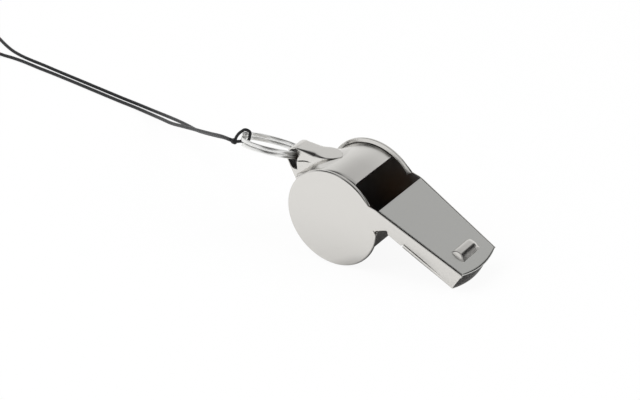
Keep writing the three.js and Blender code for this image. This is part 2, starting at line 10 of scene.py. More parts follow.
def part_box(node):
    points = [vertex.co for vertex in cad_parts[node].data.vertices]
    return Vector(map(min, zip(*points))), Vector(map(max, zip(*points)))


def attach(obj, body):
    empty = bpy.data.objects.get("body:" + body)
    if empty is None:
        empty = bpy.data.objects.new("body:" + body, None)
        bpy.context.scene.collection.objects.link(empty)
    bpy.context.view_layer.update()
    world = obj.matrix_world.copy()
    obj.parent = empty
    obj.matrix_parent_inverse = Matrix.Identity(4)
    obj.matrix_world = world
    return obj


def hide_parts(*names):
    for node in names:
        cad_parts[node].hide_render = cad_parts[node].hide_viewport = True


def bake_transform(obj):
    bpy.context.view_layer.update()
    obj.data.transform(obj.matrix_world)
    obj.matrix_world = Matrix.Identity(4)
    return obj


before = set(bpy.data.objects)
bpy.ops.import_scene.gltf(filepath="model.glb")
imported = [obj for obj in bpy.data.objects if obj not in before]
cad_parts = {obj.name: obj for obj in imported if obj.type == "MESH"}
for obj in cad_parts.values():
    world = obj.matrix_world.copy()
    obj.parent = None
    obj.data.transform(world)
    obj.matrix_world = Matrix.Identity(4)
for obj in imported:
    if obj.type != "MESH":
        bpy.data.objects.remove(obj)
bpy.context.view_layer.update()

bl_info = {
    "name": "Pea Whistle",
    "version": (1, 0, 0),
    "blender": (4, 5, 0),
    "location": "View3D > Sidebar > Whistle",
    "description": "Builds the visible pieces of a sheet-metal pea whistle and its studio stage",
    "category": "Object",
}

MM = 0.001
RIM_RADIUS = 11.0
AXIS_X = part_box("near_side_plate")[0][0] / MM + RIM_RADIUS


def length(name, description, millimetres):
    """A size property in metres, given by its value in millimetres."""
    return FloatProperty(
        name=name, description=description, default=millimetres * MM, unit="LENGTH", precision=5
    )


def linear(hex_colour):
    """An sRGB hex colour such as d9dadb as linear red, green, blue and alpha."""
    channels = [int(hex_colour[i : i + 2], 16) / 255 for i in (0, 2, 4)]
    return [c / 12.92 if c <= 0.04045 else ((c + 0.055) / 1.055) ** 2.4 for c in channels] + [1.0]


def paint(name, description, hex_colour):
    """A colour property, given by its sRGB hex value."""
    return FloatVectorProperty(
        name=name, description=description, default=linear(hex_colour), size=4, subtype="COLOR", min=0, max=1
    )


class WhistleSizes(bpy.types.PropertyGroup):
    """Sizes of the whistle, its ring and its cord."""

    body_width: length("Body width", "Over the outer faces of the two side plates", 16.7)
    side_sheet: length("Side sheet", "Sheet thickness of the side plates", 0.2)
    rim_width: length("Rim width", "Depth of the turned rim of a side plate", 0.8)
    barrel_radius: length("Barrel radius", "Outer radius of the barrel strip", 10.2)
    edge_roll: length("Edge roll", "Radius of the barrel strip's rolled near edge", 1.2)
    sheet: length("Sheet", "Sheet thickness of the barrel strip and the mouthpiece", 0.5)
    mouth_length: length("Mouth length", "From the barrel axis to the corners of the mouth", 29.5)
    mouth_bulge: length("Mouth bulge", "How far the lip curves out in the middle", 1.1)
    mouth_height: length("Mouth height", "Over the top plate and the floor", 4.6)
    mouth_half_width: length("Mouth half width", "Half width over the side walls at the mouth", 6.65)
    top_level: length("Top level", "Top plate's upper face above the barrel axis", 10.0)
    window_end: length("Window end", "From the barrel axis to the top plate's rear edge", 7.9)
    edge_round: length("Edge rounding", "Rounding of the side plates' edges", 0.1)
    rim_round: length("Rim rounding", "Radius of the turned rim's corner", 0.45)
    cord_width: length("Cord diameter", "Diameter of the braided cord", 0.8)
    ring_radius: length("Ring radius", "Middle radius of the split ring", 6.6)


class WhistleColours(bpy.types.PropertyGroup):
    """Colours of the whistle's materials."""

    plated: paint("Plated sheet", "Polished nickel plate", "dad8d4")
    brushed: paint("Brushed plate", "Finely brushed nickel plate of the mouthpiece's top", "c8c8c5")
    # Partly painted shade: this grey is darker than the plate to stand in for the shade inside the chamber
    # and the windway.
    inside: paint("Sheet inside", "Dull sheet inside the chamber and the windway", "b0afae")
    ring_wire: paint("Ring wire", "Plated spring wire", "eeeeec")
    # Painted shade: this dark colour is painted on the ring's wire where it lies in the shade of the loop's
    # eye.
    ring_in_painted_shade: paint("Wire in painted shade", "Spring wire in painted shade inside the eye", "3c3835")
    cork: paint("Cork", "Ground cork of the pea", "9c7143")
    cork_dark: paint("Cork grain", "Dark grains in the cork", "5a3b22")
    cord: paint("Cord", "Black braided cord", "121316")
    floor: paint("Floor", "Pale studio floor", "f4f4f4")


def sizes():
    """The whistle's sizes in millimetres."""
    group = bpy.context.scene.whistle_sizes
    return {name: getattr(group, name) / MM for name in WhistleSizes.__annotations__}


def colour(name):
    return list(getattr(bpy.context.scene.whistle_colours, name))


# Body, in millimetres in the whistle's own axes: from the barrel axis to the mouth, across, and up.
FIT = 0.1
WALL = 0.45
REST_GAP = 0.3
FLOOR_GAP = 0.05
FOLD_AT = 8.6
FLANGE_START = 16.0
FLANGE_HEIGHT = 0.85
LOWER_LIP_SHORTER = 0.35
FLOOR_RISE = 1.25
THROAT = (9.05, 5.1)
HUMP_START = 10.9
HUMP_END = 12.3
HUMP_EDGE = 7.4
WINDWAY_SLIT = 1.3
NOTCH_ANGLE = math.radians(25)
WINDOW_ANGLE = math.radians(59.5)
LIP_ANGLE = math.radians(87.5)

# Lanyard loop, in axes that lean back so that its top is level when the whistle rests.
LOOP_LEAN = math.radians(31)
LOOP_REACH = 12.4
LOOP_HALF_WIDTH = 2.05
LOOP_SHEET = 0.3
LOOP_TOP = 10.65
CURL_RADIUS = 2.5
CURL_LEVEL = LOOP_TOP - CURL_RADIUS

# Angles of a quarter turn, for rounded corners.
QUARTER = [math.radians(15 * k) for k in range(7)]
FINE_QUARTER = [math.radians(7.5 * k) for k in range(13)]


def lip_tip():
    """Front end of the lower lip."""
    s = sizes()
    return s["mouth_length"] - LOWER_LIP_SHORTER + s["mouth_bulge"]


def floor_at(x):
    """Underside of the mouthpiece's floor, which rises from the mouth to the throat."""
    s = sizes()
    return s["top_level"] - s["mouth_height"] + FLOOR_RISE * (lip_tip() - x) / (lip_tip() - HUMP_END)


def wall_at(x):
    """Half width over the side walls at a distance along the mouthpiece."""
    s = sizes()
    half = s["body_width"] / 2
    taper = (half - s["mouth_half_width"]) / (s["mouth_length"] - FOLD_AT)
    return half - taper * (x - FOLD_AT)


def body_place():
    """From the whistle's own axes, in millimetres, to where it rests on the floor, in metres."""
    s = sizes()
    level = s["top_level"] - s["mouth_height"]
    tilt = math.asin(RIM_RADIUS / math.hypot(lip_tip(), level)) + math.atan2(level, lip_tip())
    rest = Matrix.Translation((AXIS_X, 0, RIM_RADIUS)) @ Matrix.Rotation(tilt, 4, "Y")
    return Matrix.Scale(MM, 4) @ rest


def loop_place():
    """From the axes of the lanyard loop and the ring to where they rest."""
    return body_place() @ Matrix.Rotation(-LOOP_LEAN, 4, "Y")


# Numbers of the colour sockets of a mix node: share, first and second colour, and the result.
MIX_SHARE, MIX_FIRST, MIX_SECOND, MIX_RESULT = 0, 6, 7, 2


def feed(tree, node, inputs):
    """Links a node's inputs to outputs of other nodes, or sets them to values."""
    for key, value in inputs.items():
        if isinstance(value, bpy.types.NodeSocket):
            tree.links.new(value, node.inputs[key])
        else:
            node.inputs[key].default_value = value


def add_node(tree, kind, inputs=None, **settings):
    """Adds one node with its settings, and links or sets its inputs."""
    made = tree.nodes.new(kind)
    for key, value in settings.items():
        setattr(made, key, value)
    feed(tree, made, inputs or {})
    return made


def new_material(name, **values):
    """A node material with values on its shader, or the one made before, which has nothing left to add."""
    material = bpy.data.materials.get(name)
    if material:
        return material, None, None
    material = bpy.data.materials.new(name)
    material.use_nodes = True
    tree = material.node_tree
    shader = tree.nodes["Principled BSDF"]
    feed(tree, shader, {key.replace("_", " "): value for key, value in values.items()})
    return material, tree, shader


def plated_sheet():
    """Nickel-plated sheet steel, pressed and tumble-polished: a clean mirror, a little soft on flat faces."""
    material, tree, shader = new_material("nickel_plate_polished", Base_Color=colour("plated"), Metallic=1.0)
    if tree is None:
        return material
    place = add_node(tree, "ShaderNodeTexCoord").outputs["Object"]
    # Faint clouding of the plate, about 4 mm across.
    cloud = add_node(tree, "ShaderNodeTexNoise", {"Vector": place, "Scale": 1 / (4 * MM), "Detail": 3.0})
    rough = add_node(
        tree, "ShaderNodeMapRange", {"Value": cloud.outputs["Fac"], "To Min": 0.16, "To Max": 0.26}
    )
    # Pressing ripple about 2.5 mm long, a few thousandths of a millimetre deep.
    ripple = add_node(tree, "ShaderNodeTexNoise", {"Vector": place, "Scale": 1 / (2.5 * MM), "Detail": 1.0})
    depth = {"Height": ripple.outputs["Fac"], "Strength": 0.12, "Distance": 0.02 * MM}
    bump = add_node(tree, "ShaderNodeBump", depth)
    feed(tree, shader, {"Roughness": rough.outputs["Result"], "Normal": bump.outputs["Normal"]})
    return material


def brushed_sheet():
    """Nickel-plated sheet steel, finely brushed after pressing: greyer than the polish, with a soft grain."""
    material, tree, shader = new_material("nickel_plate_brushed", Base_Color=colour("brushed"), Metallic=1.0)
    if tree is None:
        return material
    place = add_node(tree, "ShaderNodeTexCoord").outputs["Object"]
    # Brush lines about 0.5 mm apart and 3 mm long, drawn coarser than the real ones so that they show.
    grain = add_node(tree, "ShaderNodeMapping", {"Vector": place, "Scale": (1 / 3, 2.0, 1.0)})
    spacing = {"Vector": grain.outputs["Vector"], "Scale": 1 / MM, "Detail": 3.0}
    lines = add_node(tree, "ShaderNodeTexNoise", spacing).outputs["Fac"]
    rough = add_node(tree, "ShaderNodeMapRange", {"Value": lines, "To Min": 0.17, "To Max": 0.27})
    bump = add_node(tree, "ShaderNodeBump", {"Height": lines, "Strength": 0.1, "Distance": 0.01 * MM})
    feed(tree, shader, {"Roughness": rough.outputs["Result"], "Normal": bump.outputs["Normal"]})
    return material


def shaded_sheet_inside():
    """Plated sheet left unpolished inside: dull and slightly clouded; its darker grey is painted shade inside
    the chamber and the windway.
    """
    material, tree, shader = new_material(
        "nickel_plate_unpolished", Base_Color=colour("inside"), Metallic=1.0
    )
    if tree is None:
        return material
    # Its darker base colour is painted shade; its roughness is the real dull, unpolished sheet.
    place = add_node(tree, "ShaderNodeTexCoord").outputs["Object"]
    # Clouds about 1.5 mm across.
    streak = add_node(tree, "ShaderNodeTexNoise", {"Vector": place, "Scale": 1 / (1.5 * MM), "Detail": 4.0})
    rough = add_node(
        tree, "ShaderNodeMapRange", {"Value": streak.outputs["Fac"], "To Min": 0.42, "To Max": 0.6}
    )
    feed(tree, shader, {"Roughness": rough.outputs["Result"]})
    return material


def ring_wire():
    """Hardened spring wire, rolled flat and plated: bright and faintly mottled, with painted shade where it
    lies in the eye.
    """
    material, tree, shader = new_material("spring_wire_plated", Metallic=1.0)
    if tree is None:
        return material
    place = add_node(tree, "ShaderNodeTexCoord").outputs["Object"]
    # The wire's painted shade fades out between 2.5 and 3.8 mm from the eye's middle.
    eye = loop_place() @ RING_EYE
    away = add_node(tree, "ShaderNodeVectorMath", {0: place, 1: eye}, operation="DISTANCE").outputs["Value"]
    bright = add_node(tree, "ShaderNodeMapRange", {"Value": away, "From Min": 2.5 * MM, "From Max": 3.8 * MM})
    share = bright.outputs["Result"]
    # The wire's colour turns to the painted shade near the eye.
    tints = {MIX_SHARE: share, MIX_FIRST: colour("ring_in_painted_shade"), MIX_SECOND: colour("ring_wire")}
    plate = add_node(tree, "ShaderNodeMix", tints, data_type="RGBA")
    # Mottling about 0.6 mm across.
    lines = add_node(tree, "ShaderNodeTexNoise", {"Vector": place, "Scale": 1 / (0.6 * MM), "Detail": 2.0})
    rough = add_node(
        tree, "ShaderNodeMapRange", {"Value": lines.outputs["Fac"], "To Min": 0.26, "To Max": 0.38}
    )
    feed(tree, shader, {"Base Color": plate.outputs[MIX_RESULT], "Roughness": rough.outputs["Result"]})
    return material


def ground_cork():
    """Ground cork pressed into a ball: matte tan grains with darker ones between."""
    material, tree, shader = new_material("cork_pressed", Roughness=0.9)
    if tree is None:
        return material
    place = add_node(tree, "ShaderNodeTexCoord").outputs["Object"]
    # Grains about 0.9 mm across.
    grain = add_node(tree, "ShaderNodeTexVoronoi", {"Vector": place, "Scale": 1 / (0.9 * MM)})
    tint = add_node(tree, "ShaderNodeValToRGB", {"Fac": grain.outputs["Color"]})
    tint.color_ramp.elements[0].color = colour("cork")
    tint.color_ramp.elements[1].color = colour("cork_dark")
    pits = {"Height": grain.outputs["Distance"], "Strength": 0.5, "Distance": 0.1 * MM}
    bump = add_node(tree, "ShaderNodeBump", pits)
    feed(tree, shader, {"Base Color": tint.outputs["Color"], "Normal": bump.outputs["Normal"]})
    return material


def braided_cord():
    """Black polyester cord, braided: matte with a faint sheen and small crossing plaits."""
    material, tree, shader = new_material(
        "polyester_braid_black", Base_Color=colour("cord"), Roughness=0.7, Sheen_Weight=0.15
    )
    if tree is None:
        return material
    # The braid's map runs in millimetres along the cord and round it. Its plaits are drawn coarser than the
    # real ones so that they show; a wave repeats each tenth of pi at a scale of 1.
    braid_map = add_node(tree, "ShaderNodeUVMap", uv_map="braid").outputs["UV"]
    plaits = []
    for lean in (PLAIT_LEAN, -PLAIT_LEAN):
        turned = add_node(tree, "ShaderNodeMapping", {"Vector": braid_map, "Rotation": (0, 0, lean)})
        spacing = {"Vector": turned.outputs["Vector"], "Scale": math.pi / 10 / PLAIT_SPACING}
        wave = add_node(tree, "ShaderNodeTexWave", spacing)
        plaits.append(wave.outputs["Fac"])
    over = add_node(tree, "ShaderNodeMath", {0: plaits[0], 1: plaits[1]}, operation="MAXIMUM")
    depth = {"Height": over.outputs["Value"], "Strength": 0.8, "Distance": 0.08 * MM}
    bump = add_node(tree, "ShaderNodeBump", depth)
    feed(tree, shader, {"Normal": bump.outputs["Normal"]})
    return material


# Points closer than this, in millimetres, are one: in a mesh as drawn, and where a rounded edge has no room.
SAME_POINT = 1e-4
SLIVER = 0.003

# Braid of the cord: how far its map reaches round the cord and the distance of its plaits, in millimetres.
BRAID_ROUND = 2.5
PLAIT_SPACING = 0.98175
PLAIT_LEAN = math.radians(38)

# Largest share of a side that the rounding of a corner takes.
CORNER_SHARE = 0.45


def put(name, data):
    """A new object with that data in the scene."""
    obj = bpy.data.objects.new(name, data)
    bpy.context.scene.collection.objects.link(obj)
    return obj


def grid(row, rows, first=0, closed=False, turned=False):
    """Quads between rows of points that follow each other; each row is open or closed to a ring."""
    faces = []
    for k in range(rows - 1):
        for i in range(row if closed else row - 1):
            a, b = first + k * row + i, first + k * row + (i + 1) % row
            faces.append((a + row, a, b, b + row) if turned else (a, a + row, b + row, b))
    return faces


def finish_mesh(
    name, points, faces, place, materials, thickness=0.0, rounding=0.0, sharp=30, weld=0.0, crease=0
):
    """A mesh object from points in millimetres, given thickness and rounded edges as a piece of sheet has."""
    mesh = bpy.data.meshes.new(name)
    mesh.from_pydata(points, [], faces)
    mesh.update()
    obj = put(name, mesh)
    for material in materials:
        mesh.materials.append(material)
    shaped = bmesh.new()
    shaped.from_mesh(mesh)
    bmesh.ops.remove_doubles(shaped, verts=shaped.verts, dist=SAME_POINT)
    shaped.to_mesh(mesh)
    shaped.free()
    if crease:
        mesh.shade_smooth()
        mesh.set_sharp_from_angle(angle=math.radians(crease))
    if thickness:
        solid = obj.modifiers.new("sheet", "SOLIDIFY")
        solid.thickness = thickness
        solid.offset = -1.0
        solid.use_even_offset = True
        solid.use_quality_normals = True
        solid.material_offset = len(materials) - 1
    if rounding:
        bevel = obj.modifiers.new("edges", "BEVEL")
        bevel.width = rounding
        bevel.segments = 3
        bevel.limit_method = "ANGLE"
        bevel.angle_limit = math.radians(sharp)
        bevel.use_clamp_overlap = True
    if weld:
        obj.modifiers.new("slivers", "WELD").merge_threshold = weld
    obj.modifiers.new("normals", "WEIGHTED_NORMAL").keep_sharp = True
    return bake(obj, place)


def bake(obj, place):
    """Applies an object's modifiers and moves its points to where the piece rests."""
    view = bpy.context.evaluated_depsgraph_get()
    done = bpy.data.meshes.new_from_object(obj.evaluated_get(view))
    obj.modifiers.clear()
    old = obj.data
    obj.data = done
    bpy.data.meshes.remove(old)
    done.name = obj.name
    done.transform(place)
    done.shade_smooth()
    done.update()
    return obj


def arc(centre, radius, start, end, step=2.0):
    """Points on an arc, angles in radians from the first axis towards the second."""
    count = max(2, round(abs(end - start) / math.radians(step)))
    angles = [start + (end - start) * i / count for i in range(count + 1)]
    return [(centre[0] + radius * math.cos(a), centre[1] + radius * math.sin(a)) for a in angles]


def rounded(points, radii, closed=True, steps=5):
    """A polygon or line with its corners rounded, by one radius for each corner or one for all."""
    out = []
    count = len(points)
    for i, corner in enumerate(points):
        radius = radii[i] if isinstance(radii, (list, tuple)) else radii
        if radius <= 0 or (not closed and i in (0, count - 1)):
            out.append(tuple(corner))
            continue
        here = Vector(corner)
        back = Vector(points[i - 1]) - here
        ahead = Vector(points[(i + 1) % count]) - here
        reach = min(radius, CORNER_SHARE * back.length, CORNER_SHARE * ahead.length)
        first = here + back.normalized() * reach
        last = here + ahead.normalized() * reach
        for t in (k / steps for k in range(steps + 1)):
            out.append(tuple(first * (1 - t) ** 2 + here * 2 * t * (1 - t) + last * t**2))
    return out


def tube(name, path, section, ups, material, place, closed_ends=True):
    """A tube with a given section along a path in millimetres, with a map along its length."""
    sides = len(section)
    points = []
    travelled = [0.0]
    for i in range(1, len(path)):
        travelled.append(travelled[-1] + (Vector(path[i]) - Vector(path[i - 1])).length)
    for at, (across, up) in zip(path, ups):
        points += [Vector(at) + across * a + up * b for a, b in section]
    faces = grid(sides, len(path), closed=True)
    if closed_ends:
        faces.append(tuple(range(sides)))
        faces.append(tuple(reversed(range((len(path) - 1) * sides, len(path) * sides))))
    mesh = bpy.data.meshes.new(name)
    mesh.from_pydata(points, [], faces)
    layer = mesh.uv_layers.new(name="braid")
    for polygon in mesh.polygons:
        for loop in polygon.loop_indices:
            vertex = mesh.loops[loop].vertex_index
            layer.data[loop].uv = (BRAID_ROUND * (vertex % sides) / sides, travelled[vertex // sides])
    mesh.materials.append(material)
    mesh.transform(place)
    mesh.shade_smooth()
    return put(name, mesh)


def cord_frames(path):
    """Two directions across a path at each of its points, with no twist along it."""
    frames = []
    across = None
    for i in range(len(path)):
        tangent = (Vector(path[min(i + 1, len(path) - 1)]) - Vector(path[max(i - 1, 0)])).normalized()
        if across is None:
            across = tangent.cross(Vector((0, 0, 1))).normalized()
        across = (across - tangent * across.dot(tangent)).normalized()
        frames.append((across, across.cross(tangent)))
    return frames


def round_section(radius, sides=10):
    angles = [2 * math.pi * i / sides for i in range(sides)]
    return [(radius * math.cos(a), radius * math.sin(a)) for a in angles]


def between(p, q, low, high, t):
    """A point on the line through two points, by its place between their two knots."""
    return p * ((high - t) / (high - low)) + q * ((t - low) / (high - low))


def smooth_line(control, count, steps=40):
    """A centripetal spline through control points, sampled at even spacing."""
    knots = [Vector(c) for c in control]
    knots = [knots[0] * 2 - knots[1]] + knots + [knots[-1] * 2 - knots[-2]]
    fine = []
    for i in range(1, len(knots) - 2):
        p0, p1, p2, p3 = knots[i - 1 : i + 3]
        t0 = 0.0
        t1 = t0 + max(1e-6, (p1 - p0).length) ** 0.5
        t2 = t1 + max(1e-6, (p2 - p1).length) ** 0.5
        t3 = t2 + max(1e-6, (p3 - p2).length) ** 0.5
        for k in range(steps):
            t = t1 + (t2 - t1) * k / steps
            middle = between(p1, p2, t1, t2, t)
            first = between(between(p0, p1, t0, t1, t), middle, t0, t2, t)
            second = between(middle, between(p2, p3, t2, t3, t), t1, t3, t)
            fine.append(between(first, second, t1, t2, t))
    fine.append(knots[-2])
    total = [0.0]
    for i in range(1, len(fine)):
        total.append(total[-1] + (fine[i] - fine[i - 1]).length)
    out = []
    k = 0
    for i in range(count):
        want = total[-1] * i / (count - 1)
        while k < len(total) - 2 and total[k + 1] < want:
            k += 1
        share = (want - total[k]) / max(1e-9, total[k + 1] - total[k])
        out.append(fine[k].lerp(fine[k + 1], min(1.0, share)))
    return out


# The ring's own axes: from the eye outwards, square to the ring, and along the wire in the eye.
RING_OUT = Vector((-0.9771, -0.1481, 0.1529)).normalized()
RING_LEAN = Vector((0.0741, 0.4365, 0.8966))
RING_UP = (RING_LEAN - RING_OUT * RING_OUT.dot(RING_LEAN)).normalized()
RING_ALONG = RING_UP.cross(RING_OUT)
RING_EYE = Vector((-LOOP_REACH - 0.1, 0, CURL_LEVEL - 0.05))
RING_ENDS_AT = math.radians(215)
RING_END_GAP = math.radians(8)
RING_STEPS = 360
RING_WIRE = (0.75, 0.78)
RING_WIRE_ROUND = 0.2
RING_PITCH = 0.88

# Loop of cord round the ring's wire, from the knot over the wire and back below it: outwards, up, along it.
HITCH_LOOP = [
    (2.25, -1.3, -0.25), (2.1, -0.45, -0.2), (1.7, 0.35, -0.1), (1.15, 1.0, 0), (0.6, 1.5, 0),
    (-0.15, 1.58, 0), (-0.75, 1.3, 0), (-0.87, 0.6, 0), (-0.87, -0.3, 0), (-0.45, -0.88, 0),
    (0.4, -0.98, 0), (1.3, -1.25, 0.15), (2.25, -1.6, 0.25),
]
HITCH_POINTS = 110
# Share of the cord's diameter that is left where the hitch is drawn tight.
HITCH_TIGHT = 0.85
KNOT_AT = (2.3, -1.5, 0.0)
KNOT_WIDTH = 1.5
KNOT_HEADING = Vector((-0.86, 0.455, -0.229)).normalized()
# Wraps of the knot: turns, radius of their middle line, half their length, first angle in radians, points.
WRAP_TURNS = 2.2
WRAP_RADIUS = 0.3
WRAP_REACH = 0.42
WRAP_START = 4.0
WRAP_POINTS = 60

# Neck cord. Middle line of its two strands from the knot to the floor and along it, half the distance between
# them, and how far the far one lies under it.
STRAND_ROUTE = [
    (-32.4, -0.5, 18.9, 0.42, 0.3), (-39.0, 4.0, 15.9, 0.42, 0.3), (-44.8, 8.1, 13.2, 0.42, 0.3),
    (-50.8, 12.4, 10.45, 0.46, 0.28), (-57.6, 17.2, 7.6, 0.72, 0.12), (-63.7, 21.3, 5.2, 0.94, 0),
    (-70.3, 25.5, 2.95, 0.9, 0), (-77.8, 29.4, 1.05, 0.8, 0), (-83.1, 31.1, 0.55, 0.75, 0),
    (-89.1, 32.3, 0.45, 0.75, 0), (-96.2, 33.7, 0.45, 0.75, 0), (-105.3, 35.5, 0.45, 0.75, 0),
    (-116.3, 37.6, 0.45, 0.85, 0), (-129.6, 40.1, 0.45, 1.4, 0),
]
STRAND_POINTS = 150
STRAND_IN_KNOT = 0.3
# Coil of the cord on the floor: its middle, heading, turns in each layer, layers, inner radius, spacing
# between turns and points for each turn.
COIL_CENTRE = (-162.0, 46.4)
COIL_HEADING = 2.95
COIL_TURNS = 5
COIL_LAYERS = 4
COIL_INNER = 2.2
COIL_SPACING = 0.46
COIL_STEPS = 40
# Length in cord diameters of the straight run where a strand meets the coil.
COIL_LEAD = 8
# Flat band round the coil: its width and thickness, its room, and the rounding of its bends and edges.
BAND = (1.2, 0.4)
BAND_ROOM = 0.5
BAND_BEND = 0.6
BAND_EDGE = 0.12


def ring_centre():
    return RING_EYE + RING_OUT * sizes()["ring_radius"]


def hitch_point(out, up, along):
    """A point near the hitch, by distances from the ring's wire."""
    wire = ring_centre() + RING_OUT * sizes()["ring_radius"]
    return wire + RING_OUT * out + RING_UP * up + RING_ALONG * along


def coil_point(turns, cord, pitch):
    """A point of the coil's middle line, by the number of turns from its lower end."""
    layer = min(COIL_LAYERS - 1, int(turns // COIL_TURNS))
    within = turns - layer * COIL_TURNS
    outer = COIL_INNER + pitch * COIL_TURNS
    radius = outer - pitch * within if layer % 2 == 0 else COIL_INNER + pitch * within
    level = 0.0
    # Each higher layer is reached over half a turn.
    for k in range(1, COIL_LAYERS):
        climb = min(1.0, max(0.0, 2 * (turns - k * COIL_TURNS) + 0.5))
        level += climb * climb * (3 - 2 * climb)
    angle = COIL_HEADING - math.pi / 2 + 2 * math.pi * turns
    x, y = COIL_CENTRE[0] + radius * math.cos(angle), COIL_CENTRE[1] + radius * math.sin(angle)
    return Vector((x, y, FLOOR_GAP + BAND_ROOM + REST_GAP + cord / 2 + pitch * level))


def strand(side, knot, coil_end, coil_next, cord):
    """One strand's middle line from inside the knot to its end of the coil."""
    across = Vector((KNOT_HEADING.y, -KNOT_HEADING.x, 0)).normalized()
    gap, under = STRAND_ROUTE[0][3:]
    offset = across * side * gap - Vector((0, 0, side * under))
    leave_knot = knot + offset + KNOT_HEADING * (KNOT_WIDTH / 2 + REST_GAP)
    in_knot = knot + offset * 0.5 + KNOT_HEADING * STRAND_IN_KNOT
    control = [in_knot, leave_knot, leave_knot + KNOT_HEADING * cord]
    last = len(STRAND_ROUTE) - 1
    for i, (x, y, z, gap, under) in enumerate(STRAND_ROUTE):
        before = STRAND_ROUTE[max(0, i - 1)]
        after = STRAND_ROUTE[min(last, i + 1)]
        heading = Vector((after[0] - before[0], after[1] - before[1])).normalized()
        control.append(Vector((x + side * gap * heading.y, y - side * gap * heading.x, z - side * under)))
    leave = (coil_end - coil_next).normalized()
    control += [coil_end + leave * run for run in (COIL_LEAD * cord, REST_GAP + cord, REST_GAP)]
    line = smooth_line(control, STRAND_POINTS)
    for point in line:
        point.z = max(point.z, cord / 2 + FLOOR_GAP)
    return line


class WHISTLE_OT_neck_cord(bpy.types.Operator):
    """Lay the neck cord: the hitch on the ring, two strands down to the floor, and the coil with its tie"""

    bl_idname = "whistle.neck_cord"
    bl_label = "Neck Cord"

    def execute(self, context):
        cord = sizes()["cord_width"]
        pitch = cord + COIL_SPACING
        shift = Matrix.Scale(MM, 4) @ Matrix.Translation((AXIS_X, 0, 0))
        knot = shift.inverted() @ (loop_place() @ hitch_point(*KNOT_AT))
        total = COIL_TURNS * COIL_LAYERS + 0.5
        steps = int(total * COIL_STEPS)
        coil = [coil_point(total * i / steps, cord, pitch) for i in range(steps + 1)]
        far = strand(1, knot, coil[0], coil[1], cord)
        near = strand(-1, knot, coil[-1], coil[-2], cord)
        path = far + coil + list(reversed(near))
        made = tube("neck_cord", path, round_section(cord / 2), cord_frames(path), braided_cord(), shift)
        hitch = self.hitch(cord)
        tie = self.tie(cord, pitch, shift)
        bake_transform(made)
        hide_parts("lanyard_strand_far", "lanyard_strand_near", "lanyard_coil")
        return {"FINISHED"}

    def hitch(self, cord):
        """Loop through the ring, and the knot that closes it: wraps of the cord round its own strands."""
        line = smooth_line([hitch_point(*at) for at in HITCH_LOOP], HITCH_POINTS)
        knot = hitch_point(*KNOT_AT)
        turned = loop_place().to_3x3().inverted()
        heading = (turned @ KNOT_HEADING).normalized()
        side = heading.cross(RING_UP).normalized()
        up = side.cross(heading)
        for t in (i / WRAP_POINTS for i in range(WRAP_POINTS + 1)):
            angle = WRAP_START + 2 * math.pi * WRAP_TURNS * t
            out = (side * math.cos(angle) + up * math.sin(angle)) * WRAP_RADIUS
            line.append(knot + heading * (WRAP_REACH * (2 * t - 1)) + out)
        section = round_section(HITCH_TIGHT * cord / 2)
        made = tube("cord_hitch", line, section, cord_frames(line), braided_cord(), loop_place())
        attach(made, "ring")
        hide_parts("lanyard_hitch")
        return made

    def tie(self, cord, pitch, shift):
        """Flat band round the coil's bundle of turns."""
        inner = COIL_INNER - cord / 2 - REST_GAP - BAND_ROOM / 2
        outer = COIL_INNER + pitch * (COIL_TURNS + 0.5) + cord / 2 + REST_GAP + BAND_ROOM / 2
        low = FLOOR_GAP + BAND_ROOM / 2
        high = FLOOR_GAP + 1.5 * BAND_ROOM + 2 * REST_GAP + cord + pitch * (COIL_LAYERS - 1)
        along = Vector((math.cos(COIL_HEADING), math.sin(COIL_HEADING), 0))
        side = Vector((-along.y, along.x, 0))
        base = Vector((COIL_CENTRE[0], COIL_CENTRE[1], 0))
        ring = rounded([(inner, low), (outer, low), (outer, high), (inner, high)], BAND_BEND)
        line = [base + along * a + Vector((0, 0, b)) for a, b in ring]
        frames = []
        for i in range(len(line)):
            tangent = (line[(i + 1) % len(line)] - line[i - 1]).normalized()
            frames.append((side, side.cross(tangent)))
        line.append(line[0])
        frames.append(frames[0])
        a, b = BAND[0] / 2, BAND[1] / 2
        section = rounded([(a, -b), (a, b), (-a, b), (-a, -b)], BAND_EDGE, steps=3)
        made = tube("coil_band", line, section, frames, braided_cord(), shift, closed_ends=False)
        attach(made, "whistle")
        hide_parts("coil_tie")
        return made


# The two plates: piece, the node that it stands for, and its side.
PLATES = (("side_plate_near", "near_side_plate", -1), ("side_plate_far", "far_side_plate", 1))
# Rim of a side plate: steps round it, the arc over which its rounding fades at each end and what is left.
RIM_STEPS = 150
RIM_FADE = math.radians(9)
RIM_SHARP = 0.03
# Return lip, from the rim's edge inwards: how far below the rim, how far short of its width, and its lean.
RIM_RETURN = [(0.0, 0.15), (0.045, 0.07), (0.15, 0.03)]
RIM_LEAN = 0.26
SHOULDER = 1.1


